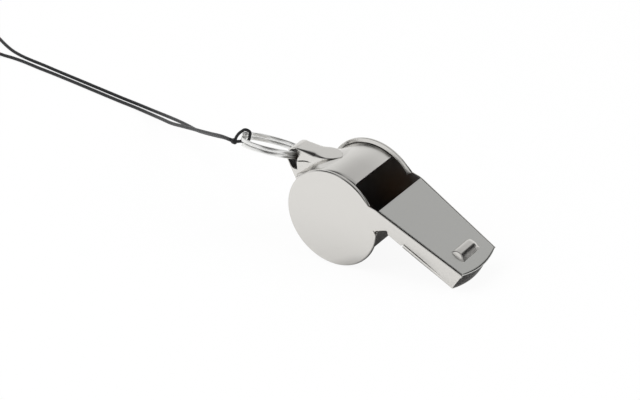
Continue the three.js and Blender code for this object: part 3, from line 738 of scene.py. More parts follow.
class WHISTLE_OT_side_plates(bpy.types.Operator):
    """Press the two side plates: a round face with a turned rim, and the mouthpiece's side wall folded in"""

    bl_idname = "whistle.side_plates"
    bl_label = "Side Plates"

    def execute(self, context):
        s = sizes()
        for name, node, side in PLATES:
            points, faces = self.plate(s, side)
            made = finish_mesh(
                name, points, faces, body_place(), [plated_sheet(), shaded_sheet_inside()],
                thickness=s["side_sheet"], rounding=s["edge_round"],
            )
            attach(made, "whistle")
            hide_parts(node)
        return {"FINISHED"}

    def wall(self, s):
        """Outline of the folded wall, from the throat along its foot to the mouth and back at its top."""
        top = s["top_level"] - FIT
        lip = s["mouth_length"] - LOWER_LIP_SHORTER
        on_floor = s["sheet"] + FIT
        return rounded(
            [
                THROAT, (HUMP_START + 0.45, HUMP_EDGE), (HUMP_END - 0.6, HUMP_EDGE),
                (HUMP_END - 0.2, floor_at(HUMP_END) + FIT),
                (FLANGE_START - 0.4, floor_at(FLANGE_START) + FIT),
                (FLANGE_START - 0.2, floor_at(FLANGE_START) + on_floor), (lip, floor_at(lip) + on_floor),
                (s["mouth_length"], top), (FOLD_AT, top),
            ],
            [0, 0.4, 0.3, 0.3, 0.15, 0.15, 0.2, 0.2, 0],
            closed=False,
        )

    def plate(self, s, side):
        """Outer face of one plate: the disc, the rounded rim round it and the folded side wall."""
        half = s["body_width"] / 2
        width = s["rim_width"]
        returned = [(RIM_RADIUS - below, width - short) for below, short in RIM_RETURN]
        returned.append((s["barrel_radius"] + FIT, width + RIM_LEAN))
        start, end = WINDOW_ANGLE, NOTCH_ANGLE + 2 * math.pi
        points = []
        for k in range(RIM_STEPS + 1):
            angle = start + (end - start) * k / RIM_STEPS
            # The corner's rounding fades out where the rim ends.
            near_end = min(1.0, min(angle - start, end - angle) / RIM_FADE)
            radius = RIM_SHARP + (s["rim_round"] - RIM_SHARP) * near_end
            flat = RIM_RADIUS - radius
            edge = [(flat + radius * math.sin(a), radius - radius * math.cos(a)) for a in QUARTER]
            for reach, back in edge + returned:
                points.append((reach * math.cos(angle), side * (half - back), reach * math.sin(angle)))
        row = len(QUARTER) + len(returned)
        faces = grid(row, RIM_STEPS + 1, turned=True)
        first = len(points)
        points += [(x, side * wall_at(x), z) for x, z in self.wall(s)]
        fold_low = len(points)
        fold_high = fold_low - 1
        shoulder = fold_low + 1
        points.append((FOLD_AT, side * half, THROAT[1] + FIT))
        points.append((FOLD_AT - SHOULDER, side * half, s["top_level"] - FIT))
        faces.append(tuple(k * row for k in range(RIM_STEPS + 1)) + (first, fold_low, fold_high, shoulder))
        faces.append((fold_low,) + tuple(range(first, fold_low)))
        if side > 0:
            faces = [tuple(reversed(face)) for face in faces]
        return points, faces


# Near edge of the barrel strip: where its roll starts, inwards from the plate's face, its steps and its tail.
NEAR_EDGE_FROM = 2.65
NEAR_EDGE_ROLL = [math.radians(8 * k) for k in range(8)]
NEAR_EDGE_TAIL = (0.25, -0.08)
# Far edge: its gap beside the rim's return lip, then outwards from there and down, and its end at the plate.
FAR_EDGE_GAP = 0.22
FAR_EDGE = [(-0.1, 0.0), (-0.03, -0.02), (0.0, -0.09), (0.03, -0.7)]
FAR_EDGE_END = -0.72


class WHISTLE_OT_barrel(bpy.types.Operator):
    """Roll the barrel strip from the sounding lip over the back and the bottom to the throat"""

    bl_idname = "whistle.barrel"
    bl_label = "Barrel"

    def execute(self, context):
        s = sizes()
        half = s["body_width"] / 2 - s["side_sheet"] - FIT
        profile = arc((0, 0), 1.0, LIP_ANGLE, NOTCH_ANGLE - math.radians(1) + 2 * math.pi)
        # The near edge is rolled down in a groove beside the rim; the far edge turns down close to the rim.
        roll = s["edge_roll"]
        flat = s["body_width"] / 2 - NEAR_EDGE_FROM
        near = [(flat + roll * math.sin(t), roll * (math.cos(t) - 1)) for t in NEAR_EDGE_ROLL]
        tail = near[-1][1] + NEAR_EDGE_TAIL[1]
        near += [(near[-1][0] + NEAR_EDGE_TAIL[0], tail), (half, tail)]
        turn = s["body_width"] / 2 - s["rim_width"] - RIM_LEAN - FAR_EDGE_GAP
        far = [(turn + out, drop) for out, drop in FAR_EDGE] + [(half, FAR_EDGE_END)]
        rows = [(-y, drop) for y, drop in reversed(near)] + [(0.0, 0.0)] + far
        points = []
        for y, drop in rows:
            radius = s["barrel_radius"] + drop
            points += [(x * radius, y, z * radius) for x, z in profile]
        faces = grid(len(profile), len(rows))
        made = finish_mesh(
            "barrel_strip", points, faces, body_place(), [plated_sheet(), shaded_sheet_inside()],
            thickness=s["sheet"], rounding=0.12,
        )
        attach(made, "whistle")
        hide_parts("barrel_wrap")
        return {"FINISHED"}


# Top plate: lines across it as shares of its half width, its sheet, the depth of its skirts, where and how
# far its long edges turn down, how much wider it is on the far side, and the roll of its front edge.
TOP_LINES = [0, 0.2, 0.4, 0.6, 0.8, 0.88, 0.93, 0.95, 0.965, 0.978, 0.988, 0.995, 1.0]
TOP_SHEET = 0.42
TOP_SKIRT = 1.2
TOP_EDGE_FROM = 0.978
TOP_EDGE_DROP = 0.14
TOP_FAR_WIDER = 0.2
FRONT_ROLL = 0.4
FRONT_DROP = 0.24

# Tooth-grip rib: its line behind the mouth's corners, and the plate's stretch that it stands on.
RIB_FROM_MOUTH = 3.7
RIB_STRETCH = (-1.75, 1.9)
# Its section: height, length behind and ahead of its top, and the rounded part of the top.
RIB_HEIGHT = 0.9
RIB_BEHIND = 1.5
RIB_AHEAD = 1.75
RIB_CREST = 0.9
RIB_FOOT_AHEAD = 0.45
RIB_SUNK = 0.3
# Its run across the plate: near end with its lean, rounding and narrowing, straight part and round far end.
RIB_NEAR_END = -3.3
RIB_CUT = 0.52
RIB_EDGE = 0.22
RIB_EDGE_LOWER = 0.17
RIB_EDGE_NARROWER = 0.14
RIB_STRAIGHT_FROM = -1.0
RIB_FAR_END = 1.9
RIB_TAIL = 1.6
RIB_TAIL_WIDTH = 0.7


def turned_down(share, depth):
    """Drop of a rounded edge, by the share of the way to it."""
    share = max(0.0, share)
    return depth * (1 - math.sqrt(max(0.0, 1 - share * share)))


class WHISTLE_OT_mouthpiece_top(bpy.types.Operator):
    """Press the mouthpiece's top plate with its turned edges and its tooth-grip rib"""

    bl_idname = "whistle.mouthpiece_top"
    bl_label = "Mouthpiece Top"

    def execute(self, context):
        s = sizes()
        start, mouth, level = s["window_end"], s["mouth_length"], s["top_level"]
        rear = wall_at(FOLD_AT) - WALL - FIT
        front = wall_at(mouth) - WALL - FIT
        rib = mouth - RIB_FROM_MOUTH
        rib_low, rib_high = rib + RIB_STRETCH[0], rib + RIB_STRETCH[1]
        rolled = mouth - FRONT_ROLL
        stops = [(start, rib_low, 24), (rib_low, rib_high, 6), (rib_high, rolled, 10), (rolled, mouth, 8)]
        stations = [low + (high - low) * i / n for low, high, n in stops for i in range(n)] + [mouth]
        lines = [-v for v in reversed(TOP_LINES[1:])] + TOP_LINES
        points = []
        for base in stations:
            half = rear + (front - rear) * (base - start) / (mouth - start)
            lead = max(0.0, (base - rib - RIB_AHEAD) / (mouth - rib - RIB_AHEAD))
            for v in lines:
                x = base + s["mouth_bulge"] * (1 - v * v) * lead
                y = half * v + TOP_FAR_WIDER * max(0.0, v)
                drop = turned_down((abs(v) - TOP_EDGE_FROM) / (1 - TOP_EDGE_FROM), TOP_EDGE_DROP)
                drop += turned_down((base - rolled) / FRONT_ROLL, FRONT_DROP)
                points.append((x, y, level - drop))
        count = len(lines)
        faces = grid(count, len(stations))
        for j in (0, count - 1):
            lower = len(points)
            edge = [i * count + j for i in range(len(stations))]
            points += [(points[a][0], points[a][1], level - TOP_SKIRT) for a in edge]
            for i in range(len(edge) - 1):
                quad = (edge[i], lower + i, lower + i + 1, edge[i + 1])
                faces.append(quad if j == 0 else quad[::-1])
        made = finish_mesh(
            "mouthpiece_plate", points, faces, body_place(), [brushed_sheet(), shaded_sheet_inside()],
            thickness=TOP_SHEET, rounding=0.1, sharp=50,
        )
        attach(made, "whistle")
        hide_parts("mouthpiece_top")
        self.rib(rib, level)
        return {"FINISHED"}

    def rib(self, x, level):
        """The tooth-grip rib: round behind, sloping ahead, cut off flat at its near end."""
        section = [(-RIB_BEHIND * math.cos(a), math.sin(a)) for a in FINE_QUARTER]
        fall = 1 / (RIB_AHEAD - RIB_CREST / 2)
        for ahead in (RIB_AHEAD * k / 12 for k in range(1, 13)):
            bent = ahead**2 / (2 * RIB_CREST) if ahead < RIB_CREST else ahead - RIB_CREST / 2
            section.append((ahead, 1 - fall * bent))
        # Rows across the plate: place, share of the height and of the width, and lean.
        rows = []
        for a in QUARTER:
            left = 1 - math.sin(a)
            at = RIB_NEAR_END + RIB_EDGE * (1 - math.cos(a))
            rows.append((at, 1 - RIB_EDGE_LOWER * left, 1 - RIB_EDGE_NARROWER * left, RIB_CUT))
        rows += [(RIB_STRAIGHT_FROM, 1.0, 1.0, 0.0), (RIB_FAR_END, 1.0, 1.0, 0.0)]
        for a in FINE_QUARTER[1:-1]:
            wide = RIB_TAIL_WIDTH + (1 - RIB_TAIL_WIDTH) * math.cos(a)
            rows.append((RIB_FAR_END + RIB_TAIL * math.sin(a), math.cos(a), wide, 0.0))
        points = []
        for y, high, wide, cut in rows:
            for across, up in section:
                points.append((x + across * wide, y + cut * up, level + RIB_HEIGHT * up * high))
            points.append((x + RIB_AHEAD * wide + RIB_FOOT_AHEAD, y, level - RIB_SUNK))
            points.append((x - RIB_BEHIND * wide, y, level - RIB_SUNK))
        count = len(section) + 2
        faces = [tuple(range(count)), tuple(reversed(range(len(points) - count, len(points))))]
        faces += grid(count, len(rows), closed=True)
        made = finish_mesh("mouthpiece_rib", points, faces, body_place(), [plated_sheet()])
        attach(made, "whistle")


# Half section of the floor with its flange, from the flange's top to the middle: share of the width, level.
FLANGE_SECTION = [(1.0, FLANGE_HEIGHT), (1.0, 0.3), (0.988, 0.09), (0.95, 0.0)]
FLOOR_COLUMNS = 16
FLOOR_STATIONS = 40
FLOOR_SHEET = 0.2
# How far the flanges stand out from the walls; from where, over what length and by what share they draw in.
FLANGE_OUT = 0.14
FLANGE_DRAWN_IN = (21, 5, 0.9)


class WHISTLE_OT_mouthpiece_floor(bpy.types.Operator):
    """Fold the mouthpiece's floor with its outside flanges and the hump that narrows the windway"""

    bl_idname = "whistle.mouthpiece_floor"
    bl_label = "Mouthpiece Floor"

    def execute(self, context):
        s = sizes()
        hump = s["top_level"] - s["sheet"] - WINDWAY_SLIT - s["sheet"]
        foot = s["barrel_radius"] * math.cos(NOTCH_ANGLE) + REST_GAP
        foot_level = s["barrel_radius"] * math.sin(NOTCH_ANGLE) + REST_GAP
        profile = rounded(
            [
                (foot, foot_level), (HUMP_START + 0.25, hump), (HUMP_END - 0.6, hump),
                (HUMP_END - 0.1, floor_at(HUMP_END - 0.1)),
                (FLANGE_START + 0.8, floor_at(FLANGE_START + 0.8)),
            ],
            [0, 0.6, 0.5, 0.4, 0],
            closed=False,
        )
        rows = [-1, -0.5, 0, 0.5, 1]
        points = [(x, v * (wall_at(max(x, FOLD_AT)) - WALL - FIT), z) for v in rows for x, z in profile]
        faces = grid(len(profile), len(rows))
        first = len(points)
        lip = s["mouth_length"] - LOWER_LIP_SHORTER
        bend = FLANGE_SECTION[-1][0]
        section = [(-v, rise) for v, rise in FLANGE_SECTION]
        section += [(bend * (2 * k / FLOOR_COLUMNS - 1), 0.0) for k in range(1, FLOOR_COLUMNS)]
        section += FLANGE_SECTION[::-1]
        drawn_from, drawn_over, drawn_share = FLANGE_DRAWN_IN
        for i in range(FLOOR_STATIONS + 1):
            t = i / FLOOR_STATIONS
            x0 = FLANGE_START + (lip - FLANGE_START) * t
            drawn = min(1.0, max(0.0, (x0 - drawn_from) / drawn_over))
            half = wall_at(x0) + FLANGE_OUT * (1 - drawn_share * drawn)
            for v, rise in section:
                bulge = s["mouth_bulge"] * (1 - v * v) * t**6 if rise == 0 else 0.0
                points.append((x0 + bulge, v * half, floor_at(x0 + bulge) + rise))
        faces += grid(len(section), FLOOR_STATIONS + 1, first=first, turned=True)
        made = finish_mesh(
            "mouthpiece_base", points, faces, body_place(), [plated_sheet(), shaded_sheet_inside()],
            thickness=FLOOR_SHEET, rounding=0.05, sharp=50,
        )
        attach(made, "whistle")
        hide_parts("mouthpiece_floor")
        return {"FINISHED"}


# Lanyard hood, by distance behind the barrel axis: half width of its raised tongue, level of its foot.
HOOD_STATIONS = [
    (-12.1, 2.05, 4.90), (-11.2, 2.12, 5.55), (-10.2, 2.20, 6.29), (-9.2, 2.28, 7.03), (-8.5, 2.34, 7.55),
    (-7.8, 2.40, 8.07), (-7.2, 2.46, 8.45), (-6.5, 2.53, 8.87), (-5.8, 2.58, 9.23), (-5.2, 2.56, 9.40),
    (-4.5, 2.40, 9.68), (-3.9, 2.12, 9.84), (-3.4, 1.80, 9.92), (-3.0, 1.48, 9.96), (-2.6, 1.05, 9.99),
    (-2.3, 0.65, 10.01), (-2.1, 0.35, 10.02), (-1.95, 0.1, 10.03),
]
HOOD_EYE_END = HOOD_STATIONS[0][0]
HOOD_SHEET = 0.2
# Fall of the tongue's top for each millimetre from the eye, and the bend of its edges: at the eye, its growth
# for each millimetre, its largest, and its depth as a share of its width.
HOOD_FALL = 0.053
HOOD_BEND = 0.3
HOOD_BEND_GROWS = 0.21
HOOD_BEND_MOST = 1.5
HOOD_BEND_DEPTH = 0.55
# Step in the hood's walls: its level, how far it goes out, half its height, the level of the foot where it is
# gone, and the height over which it fades.
HOOD_STEP_LEVEL = 8.35
HOOD_STEP_OUT = 0.28
HOOD_STEP_HALF = 0.15
HOOD_STEP_GONE = 7.9
HOOD_STEP_FADE = 0.6
# How far the wall stands outside the tongue's edge: at its top, at its step and at its foot.
HOOD_WALL_OUT = (0.02, 0.05, 0.06)
# How far the walls go down past the foot, the foot's place outside them, its reach, how deep it is let in,
# its least rise at the wall, and its columns.
HOOD_WALL_PAST = 0.35
HOOD_FOOT_OUT = 0.13
HOOD_FOOT_REACH = 6.4
HOOD_FOOT_LET_IN = 0.08
HOOD_FOOT_RISE = 0.06
HOOD_FOOT_COLUMNS = 12
# Webs that close the loop's sides: which side, level of the top, and tip at the strap. The far web stops
# lower, where the ring swings past it. Then the ends of the top, the foot, and the rounding of the corners.
WEBS = {"lanyard_web_near": (-1, 5.7, (-14.0, 6.4)), "lanyard_web_far": (1, 5.1, (-13.45, 5.15))}
WEB_TOP = (-12.0, -13.1)
WEB_FOOT = [(-10.5, -2.0), (-10.0, -1.6), (-10.1, 0.0), (-9.9, 2.2), (-9.3, 4.0)]
WEB_CORNERS = [0, 0.3, 0.15, 0, 0, 0.5, 0.5, 0.5, 0]
# The strap's end under the tongue: how far it laps and how far it lies below.
STRAP_LAP = (0.4, 0.02)


def loft_sheet(outer_lines, inner_lines):
    """Points and faces of a sheet between lines on its outside and lines on its inside, closed all round."""
    side = len(outer_lines[0])
    points = []
    for outer, inner in zip(outer_lines, inner_lines):
        points += outer + inner[::-1]
    count = 2 * side
    last = len(points) - count
    faces = grid(count, len(outer_lines), closed=True)
    for i in range(side - 1):
        faces.append((i, i + 1, count - 2 - i, count - 1 - i))
        faces.append((last + i + 1, last + i, last + count - 1 - i, last + count - 2 - i))
    return points, faces


class WHISTLE_OT_lanyard_loop(bpy.types.Operator):
    """Fold the lanyard loop: a hood on the barrel's back, its feet and webs, and the curled strap"""

    bl_idname = "whistle.lanyard_loop"
    bl_label = "Lanyard Loop"

    def execute(self, context):
        points, faces = self.hood()
        for side in (-1, 1):
            more_points, more_faces = self.foot(side, sizes()["barrel_radius"])
            faces += [tuple(i + len(points) for i in face) for face in more_faces]
            points += more_points
        hood = finish_mesh("lanyard_hood", points, faces, loop_place(), [plated_sheet()], crease=60)
        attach(hood, "whistle")
        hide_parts("lanyard_loop")
        self.webs()
        self.strap(sizes()["barrel_radius"] + LOOP_SHEET + REST_GAP)
        return {"FINISHED"}

    def wall_step(self, foot):
        """How far the hood's wall steps out below the eye's middle; nothing where the wall is low."""
        return HOOD_STEP_OUT * min(1.0, max(0.0, (HOOD_STEP_GONE - foot) / HOOD_STEP_FADE))

    def section(self, x, tongue, foot):
        """Half section of the hood's outer face, from the middle to its foot."""
        from_eye = x - HOOD_EYE_END
        top = LOOP_TOP - HOOD_FALL * from_eye
        bend = min(HOOD_BEND + HOOD_BEND_GROWS * from_eye, HOOD_BEND_MOST, 0.6 * tongue, 0.5 * (top - foot))
        line = [(0.0, top), (0.5 * (tongue - bend), top)]
        for u in (k / 6 for k in range(7)):
            line.append((tongue + bend * (u - 1), top - HOOD_BEND_DEPTH * bend * u**2))
        out = self.wall_step(foot)
        edge = line[-1][1]
        level = min(max(HOOD_STEP_LEVEL, foot + 0.3), 0.5 * (edge + foot))
        reach = min(HOOD_STEP_HALF, 0.2 * (edge - foot))
        line.append((tongue + HOOD_WALL_OUT[0], edge - 0.1 * (edge - level)))
        for t in QUARTER:
            step = out * (1 - math.cos(t * 2)) / 2
            line.append((tongue + HOOD_WALL_OUT[1] + step, level + reach - 2 * reach * t / QUARTER[-1]))
        line.append((tongue + HOOD_WALL_OUT[2] + out, foot - HOOD_WALL_PAST))
        return line

    def hood(self):
        """The hood as sheet: its sections joined from the eye to the tip, each closed on its inside."""
        outer_lines, inner_lines = [], []
        for x, tongue, foot in HOOD_STATIONS:
            near = self.section(x, tongue, foot)
            outer = [(-y, z) for y, z in reversed(near)] + near[1:]
            inner = []
            for i, here in enumerate(outer):
                before, after = outer[max(0, i - 1)], outer[min(len(outer) - 1, i + 1)]
                run = Vector((after[0] - before[0], after[1] - before[1])).normalized()
                inner.append((here[0] + HOOD_SHEET * run.y, here[1] - HOOD_SHEET * run.x))
            outer_lines.append([(x, y, z) for y, z in outer])
            inner_lines.append([(x, y, z) for y, z in inner])
        return loft_sheet(outer_lines, inner_lines)

    def foot(self, side, barrel):
        """One side of the hood's foot: sheet that leaves the wall and settles on the barrel."""
        outer_lines, inner_lines = [], []
        low = barrel - HOOD_FOOT_LET_IN
        for x, tongue, level in HOOD_STATIONS:
            radius = math.hypot(x, level)
            inner_end = tongue + self.wall_step(level) + HOOD_FOOT_OUT
            outer, inner = [], []
            for u in (k / HOOD_FOOT_COLUMNS for k in range(HOOD_FOOT_COLUMNS + 1)):
                y = side * (inner_end + (HOOD_FOOT_REACH - inner_end) * u)
                reach = low + max(HOOD_FOOT_RISE, radius - low) * (0.5 + 0.5 * math.cos(math.pi * u))
                outer.append((x / radius * reach, y, level / radius * reach))
                inner.append((x / radius * (reach - HOOD_SHEET), y, level / radius * (reach - HOOD_SHEET)))
            outer_lines.append(outer if side > 0 else outer[::-1])
            inner_lines.append(inner if side > 0 else inner[::-1])
        return loft_sheet(outer_lines, inner_lines)

    def webs(self):
        """The webs at the loop's sides, between the hood, the strap and the barrel."""
        for name, (side, top, tip) in WEBS.items():
            outline = [(x, top) for x in WEB_TOP] + [tip] + WEB_FOOT + [(WEB_FOOT[-1][0], top)]
            web = rounded(outline, WEB_CORNERS)
            corners = [(x, side * LOOP_HALF_WIDTH, z) for x, z in (web if side > 0 else web[::-1])]
            made = finish_mesh(
                name, corners, [tuple(range(len(corners)))], loop_place(), [plated_sheet()],
                thickness=0.25, rounding=0.06, weld=SLIVER,
            )
            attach(made, "whistle")

    def strap(self, wrap):
        """The strap that curls round the eye and runs down to the barrel, where it meets a given radius."""
        reach = math.hypot(LOOP_REACH, CURL_LEVEL)
        slope = math.asin((wrap - CURL_RADIUS) / reach) + math.atan2(CURL_LEVEL, LOOP_REACH)
        turn = math.pi + math.pi / 2 - slope
        profile = [(STRAP_LAP[0] - LOOP_REACH, LOOP_TOP - STRAP_LAP[1])]
        profile += arc((-LOOP_REACH, CURL_LEVEL), CURL_RADIUS, math.pi / 2, turn, 6.0)
        profile.append((wrap * math.cos(turn), wrap * math.sin(turn)))
        rows = [-LOOP_HALF_WIDTH, 0, LOOP_HALF_WIDTH]
        points = [(x, y, z) for y in rows for x, z in profile]
        faces = grid(len(profile), len(rows))
        strap = finish_mesh(
            "lanyard_strap", points, faces, loop_place(), [plated_sheet(), shaded_sheet_inside()],
            thickness=LOOP_SHEET, rounding=0.12,
        )
        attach(strap, "whistle")


# Dents of the pea: their depth as a share of its radius, and their waves along each axis, with a shift.
PEA_DENT = 0.012
PEA_WAVES = ((9, 2.1), (8, 0.4), (10, 1.3))


class WHISTLE_OT_pea(bpy.types.Operator):
    """Make the cork pea that lies in the chamber"""

    bl_idname = "whistle.pea"
    bl_label = "Pea"

    def execute(self, context):
        low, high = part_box("cork_pea")
        centre = (Vector(low) + Vector(high)) / 2
        radius = (high[2] - low[2]) / 2
        ball = bmesh.new()
        bmesh.ops.create_icosphere(ball, subdivisions=4, radius=radius)
        for vert in ball.verts:
            at = vert.co / radius
            dent = math.prod(math.sin(waves * c + shift) for c, (waves, shift) in zip(at, PEA_WAVES))
            vert.co *= 1 - PEA_DENT * (1 + dent)
        mesh = bpy.data.meshes.new("pea_ball")
        ball.to_mesh(mesh)
        ball.free()
        mesh.materials.append(ground_cork())
        mesh.transform(Matrix.Translation(centre))
        mesh.shade_smooth()
        made = put("pea_ball", mesh)
        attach(made, "pea")
        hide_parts("cork_pea")
        return {"FINISHED"}


class WHISTLE_OT_split_ring(bpy.types.Operator):
    """Wind the split ring: flat wire in two turns through the eye"""

    bl_idname = "whistle.split_ring"
    bl_label = "Split Ring"

    def execute(self, context):
        radius = sizes()["ring_radius"]
        centre = ring_centre()
        half = 2 * math.pi - RING_END_GAP
        path = []
        frames = []
        for i in range(RING_STEPS + 1):
            along = half * (2 * i / RING_STEPS - 1)
            angle = RING_ENDS_AT + along
            across = RING_OUT * -math.cos(angle) - RING_ALONG * math.sin(angle)
            path.append(centre + across * radius + RING_UP * (RING_PITCH * along / (2 * math.pi)))
            frames.append((across, RING_UP))
        a, b = RING_WIRE[0] / 2, RING_WIRE[1] / 2
        section = rounded([(a, -b), (a, b), (-a, b), (-a, -b)], RING_WIRE_ROUND, steps=3)
        made = tube("ring_of_wire", path, section, frames, ring_wire(), loop_place())
        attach(made, "ring")
        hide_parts("split_ring")
        return {"FINISHED"}


# Camera: azimuth from the near side towards the mouth, elevation and roll, the point that it looks at from
# the barrel axis in millimetres, its distance in metres, and its sensor and lens in millimetres.
CAMERA_AZIMUTH = math.radians(37.033)
CAMERA_ELEVATION = math.radians(28.608)
CAMERA_ROLL = math.radians(-5.226)
CAMERA_TARGET = (-8.691, 0, 9.126)
CAMERA_DISTANCE = 0.6
CAMERA_SENSOR = 36.0
CAMERA_LENS = 159.9778

# Floor: half its side in metres, its brightness for the camera and in reflections, and the shade under the
# mouthpiece that reflections see: its middle from the barrel axis, its radii in millimetres and its level.
FLOOR_REACH = 6.0
FLOOR_SEEN = 0.93
FLOOR_MIRRORED = 0.3
FLOOR_SHADE_AT = (11, -1, 0)
FLOOR_SHADE_RADII = (7, 15)
FLOOR_SHADE_LEVEL = 0.12

# Soft lights: place and side in metres, power in watts.
SOFTBOXES = {"softbox_left": ((-0.5, -0.35, 0.75), 0.9, 7.0), "softbox_right": ((0.85, 0.2, 0.6), 0.8, 5.0)}

# Room in the reflections: brightness by height, then its dark parts by direction, with the cosines of the
# angles where each starts and where it is full.
ROOM_LEVELS = [(0.0, 0.97), (0.45, 0.86), (0.7, 0.62), (0.85, 0.5)]
ROOM_DARK = 0.03
ROOM_DARK_PARTS = [
    ((0.35, -0.68, 0.64), 0.78, 0.9), ((-0.55, -0.15, 0.82), 0.86, 0.96), ((0.66, 0.70, 0.22), 0.85, 0.95),
]


def grey(level):
    return (level, level, level, 1)


class WHISTLE_OT_stage(bpy.types.Operator):
    """Set the camera, the pale floor, the soft lights and the studio surroundings"""

    bl_idname = "whistle.stage"
    bl_label = "Stage"

    def execute(self, context):
        self.camera(context)
        self.floor()
        self.lights()
        self.surroundings(context)
        context.scene.view_settings.view_transform = "Standard"
        return {"FINISHED"}

    def camera(self, context):
        flat = math.cos(CAMERA_ELEVATION)
        away = Vector(
            (math.sin(CAMERA_AZIMUTH) * flat, -math.cos(CAMERA_AZIMUTH) * flat, math.sin(CAMERA_ELEVATION))
        )
        right = (-away).cross(Vector((0, 0, 1))).normalized()
        up = right.cross(-away)
        side = right * math.cos(CAMERA_ROLL) + up * math.sin(CAMERA_ROLL)
        top = -right * math.sin(CAMERA_ROLL) + up * math.cos(CAMERA_ROLL)
        data = bpy.data.cameras.new("studio_camera")
        data.sensor_width = CAMERA_SENSOR
        data.lens = CAMERA_LENS
        data.clip_start = 0.01
        camera = put("studio_camera", data)
        target = (Vector(CAMERA_TARGET) + Vector((AXIS_X, 0, 0))) * MM
        turn = Matrix((side, top, away)).transposed().to_4x4()
        camera.matrix_world = Matrix.Translation(target + away * CAMERA_DISTANCE) @ turn
        context.scene.camera = camera

    def floor(self):
        """White paper for the camera; reflections see it dimmer, with the shade under the mouthpiece."""
        mesh = bpy.data.meshes.new("studio_floor")
        corners = [(x * FLOOR_REACH, y * FLOOR_REACH, 0) for x, y in ((-1, -1), (1, -1), (1, 1), (-1, 1))]
        mesh.from_pydata(corners, [], [(0, 1, 2, 3)])
        material, tree, shader = new_material("studio_floor_paper", Roughness=0.9, Specular_IOR_Level=0.0)
        path = add_node(tree, "ShaderNodeLightPath")
        mirrored = path.outputs["Is Glossy Ray"]
        place = add_node(tree, "ShaderNodeTexCoord").outputs["Object"]
        shaded = (Vector(FLOOR_SHADE_AT) + Vector((AXIS_X, 0, 0))) * MM
        away = add_node(tree, "ShaderNodeVectorMath", {0: place, 1: shaded}, operation="DISTANCE")
        fade = {
            "Value": away.outputs["Value"], "To Min": FLOOR_SHADE_LEVEL, "To Max": 1.0,
            "From Min": FLOOR_SHADE_RADII[0] * MM, "From Max": FLOOR_SHADE_RADII[1] * MM,
        }
        clear = add_node(tree, "ShaderNodeMapRange", fade).outputs["Result"]
        tints = {MIX_SHARE: mirrored, MIX_FIRST: colour("floor"), MIX_SECOND: clear}
        paper = add_node(tree, "ShaderNodeMix", tints, data_type="RGBA", blend_type="MULTIPLY")
        feed(tree, shader, {"Base Color": paper.outputs[MIX_RESULT]})
        glossy = add_node(tree, "ShaderNodeMath", {0: mirrored, 1: clear}, operation="MULTIPLY")
        level = {0: glossy.outputs["Value"], 1: FLOOR_MIRRORED}
        dim = add_node(tree, "ShaderNodeMath", level, operation="MULTIPLY")
        shares = {0: path.outputs["Is Camera Ray"], 1: FLOOR_SEEN, 2: dim.outputs["Value"]}
        share = add_node(tree, "ShaderNodeMath", shares, operation="MULTIPLY_ADD").outputs["Value"]
        glow = add_node(tree, "ShaderNodeEmission").outputs["Emission"]
        mixed = add_node(tree, "ShaderNodeMixShader", {0: share, 1: shader.outputs["BSDF"], 2: glow})
        feed(tree, tree.nodes["Material Output"], {"Surface": mixed.outputs["Shader"]})
        mesh.materials.append(material)
        put("studio_floor", mesh)

    def lights(self):
        for name, (place, size, power) in SOFTBOXES.items():
            data = bpy.data.lights.new(name, "AREA")
            data.shape = "SQUARE"
            data.size = size
            data.energy = power
            lamp = put(name, data)
            lamp.location = place
            lamp.rotation_euler = (-Vector(place)).to_track_quat("-Z", "Y").to_euler()
            lamp.visible_glossy = False

    def surroundings(self, context):
        """Pale room that is darker overhead, with the unlit parts of the studio that the metal mirrors."""
        world = bpy.data.worlds.new("studio_surroundings")
        context.scene.world = world
        world.use_nodes = True
        tree = world.node_tree
        direction = add_node(tree, "ShaderNodeTexCoord").outputs["Generated"]
        split = add_node(tree, "ShaderNodeSeparateXYZ", {"Vector": direction})
        room = add_node(tree, "ShaderNodeValToRGB", {"Fac": split.outputs["Z"]})
        steps = room.color_ramp.elements
        steps[1].position = ROOM_LEVELS[-1][0]
        steps[0].color, steps[1].color = grey(ROOM_LEVELS[0][1]), grey(ROOM_LEVELS[-1][1])
        for height, level in ROOM_LEVELS[1:-1]:
            steps.new(height).color = grey(level)
        shade = 0.0
        for towards, edge, core in ROOM_DARK_PARTS:
            aim = {0: direction, 1: Vector(towards).normalized()}
            facing = add_node(tree, "ShaderNodeVectorMath", aim, operation="DOT_PRODUCT").outputs["Value"]
            spot = add_node(tree, "ShaderNodeMapRange", {"Value": facing, "From Min": edge, "From Max": core})
            both = {0: shade, 1: spot.outputs["Result"]}
            shade = add_node(tree, "ShaderNodeMath", both, operation="MAXIMUM").outputs["Value"]
        tints = {MIX_SHARE: shade, MIX_FIRST: room.outputs["Color"], MIX_SECOND: grey(ROOM_DARK)}
        dark = add_node(tree, "ShaderNodeMix", tints, data_type="RGBA").outputs[MIX_RESULT]
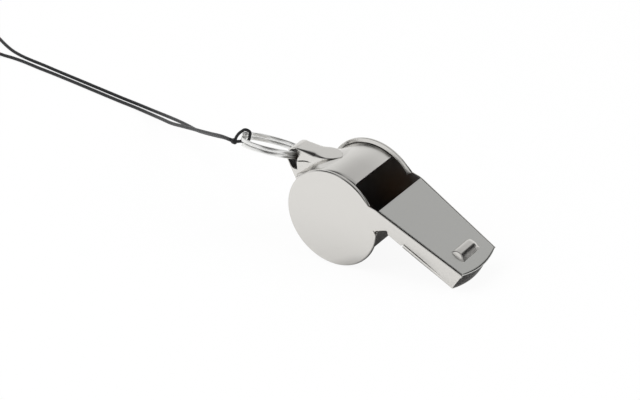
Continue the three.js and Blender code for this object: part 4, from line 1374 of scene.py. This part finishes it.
        # The camera itself sees plain white.
        path = add_node(tree, "ShaderNodeLightPath")
        tints = {MIX_SHARE: path.outputs["Is Camera Ray"], MIX_FIRST: dark, MIX_SECOND: grey(1.0)}
        white = add_node(tree, "ShaderNodeMix", tints, data_type="RGBA").outputs[MIX_RESULT]
        feed(tree, tree.nodes["Background"], {"Color": white})


class WHISTLE_PT_panel(bpy.types.Panel):
    """Lists the whistle's sizes, colours and pieces."""

    bl_idname = "WHISTLE_PT_panel"
    bl_label = "Pea Whistle"
    bl_space_type = "VIEW_3D"
    bl_region_type = "UI"
    bl_category = "Whistle"

    def draw(self, context):
        layout = self.layout
        for group in (context.scene.whistle_sizes, context.scene.whistle_colours):
            for name in group.__annotations__:
                layout.prop(group, name)
        for operator in OPERATORS:
            layout.operator(operator.bl_idname)


OPERATORS = (
    WHISTLE_OT_stage,
    WHISTLE_OT_neck_cord,
    WHISTLE_OT_side_plates,
    WHISTLE_OT_barrel,
    WHISTLE_OT_mouthpiece_top,
    WHISTLE_OT_mouthpiece_floor,
    WHISTLE_OT_lanyard_loop,
    WHISTLE_OT_pea,
    WHISTLE_OT_split_ring,
)
CLASSES = (WhistleSizes, WhistleColours) + OPERATORS + (WHISTLE_PT_panel,)


def register():
    for item in CLASSES:
        bpy.utils.register_class(item)
    bpy.types.Scene.whistle_sizes = PointerProperty(type=WhistleSizes)
    bpy.types.Scene.whistle_colours = PointerProperty(type=WhistleColours)


def unregister():
    del bpy.types.Scene.whistle_colours
    del bpy.types.Scene.whistle_sizes
    for item in reversed(CLASSES):
        bpy.utils.unregister_class(item)


def main():
    register()
    bpy.ops.whistle.stage()
    bpy.ops.whistle.neck_cord()
    bpy.ops.whistle.side_plates()
    bpy.ops.whistle.barrel()
    bpy.ops.whistle.mouthpiece_top()
    bpy.ops.whistle.mouthpiece_floor()
    bpy.ops.whistle.lanyard_loop()
    bpy.ops.whistle.pea()
    bpy.ops.whistle.split_ring()
    bpy.context.view_layer.update()


if __name__ == "__main__":
    main()
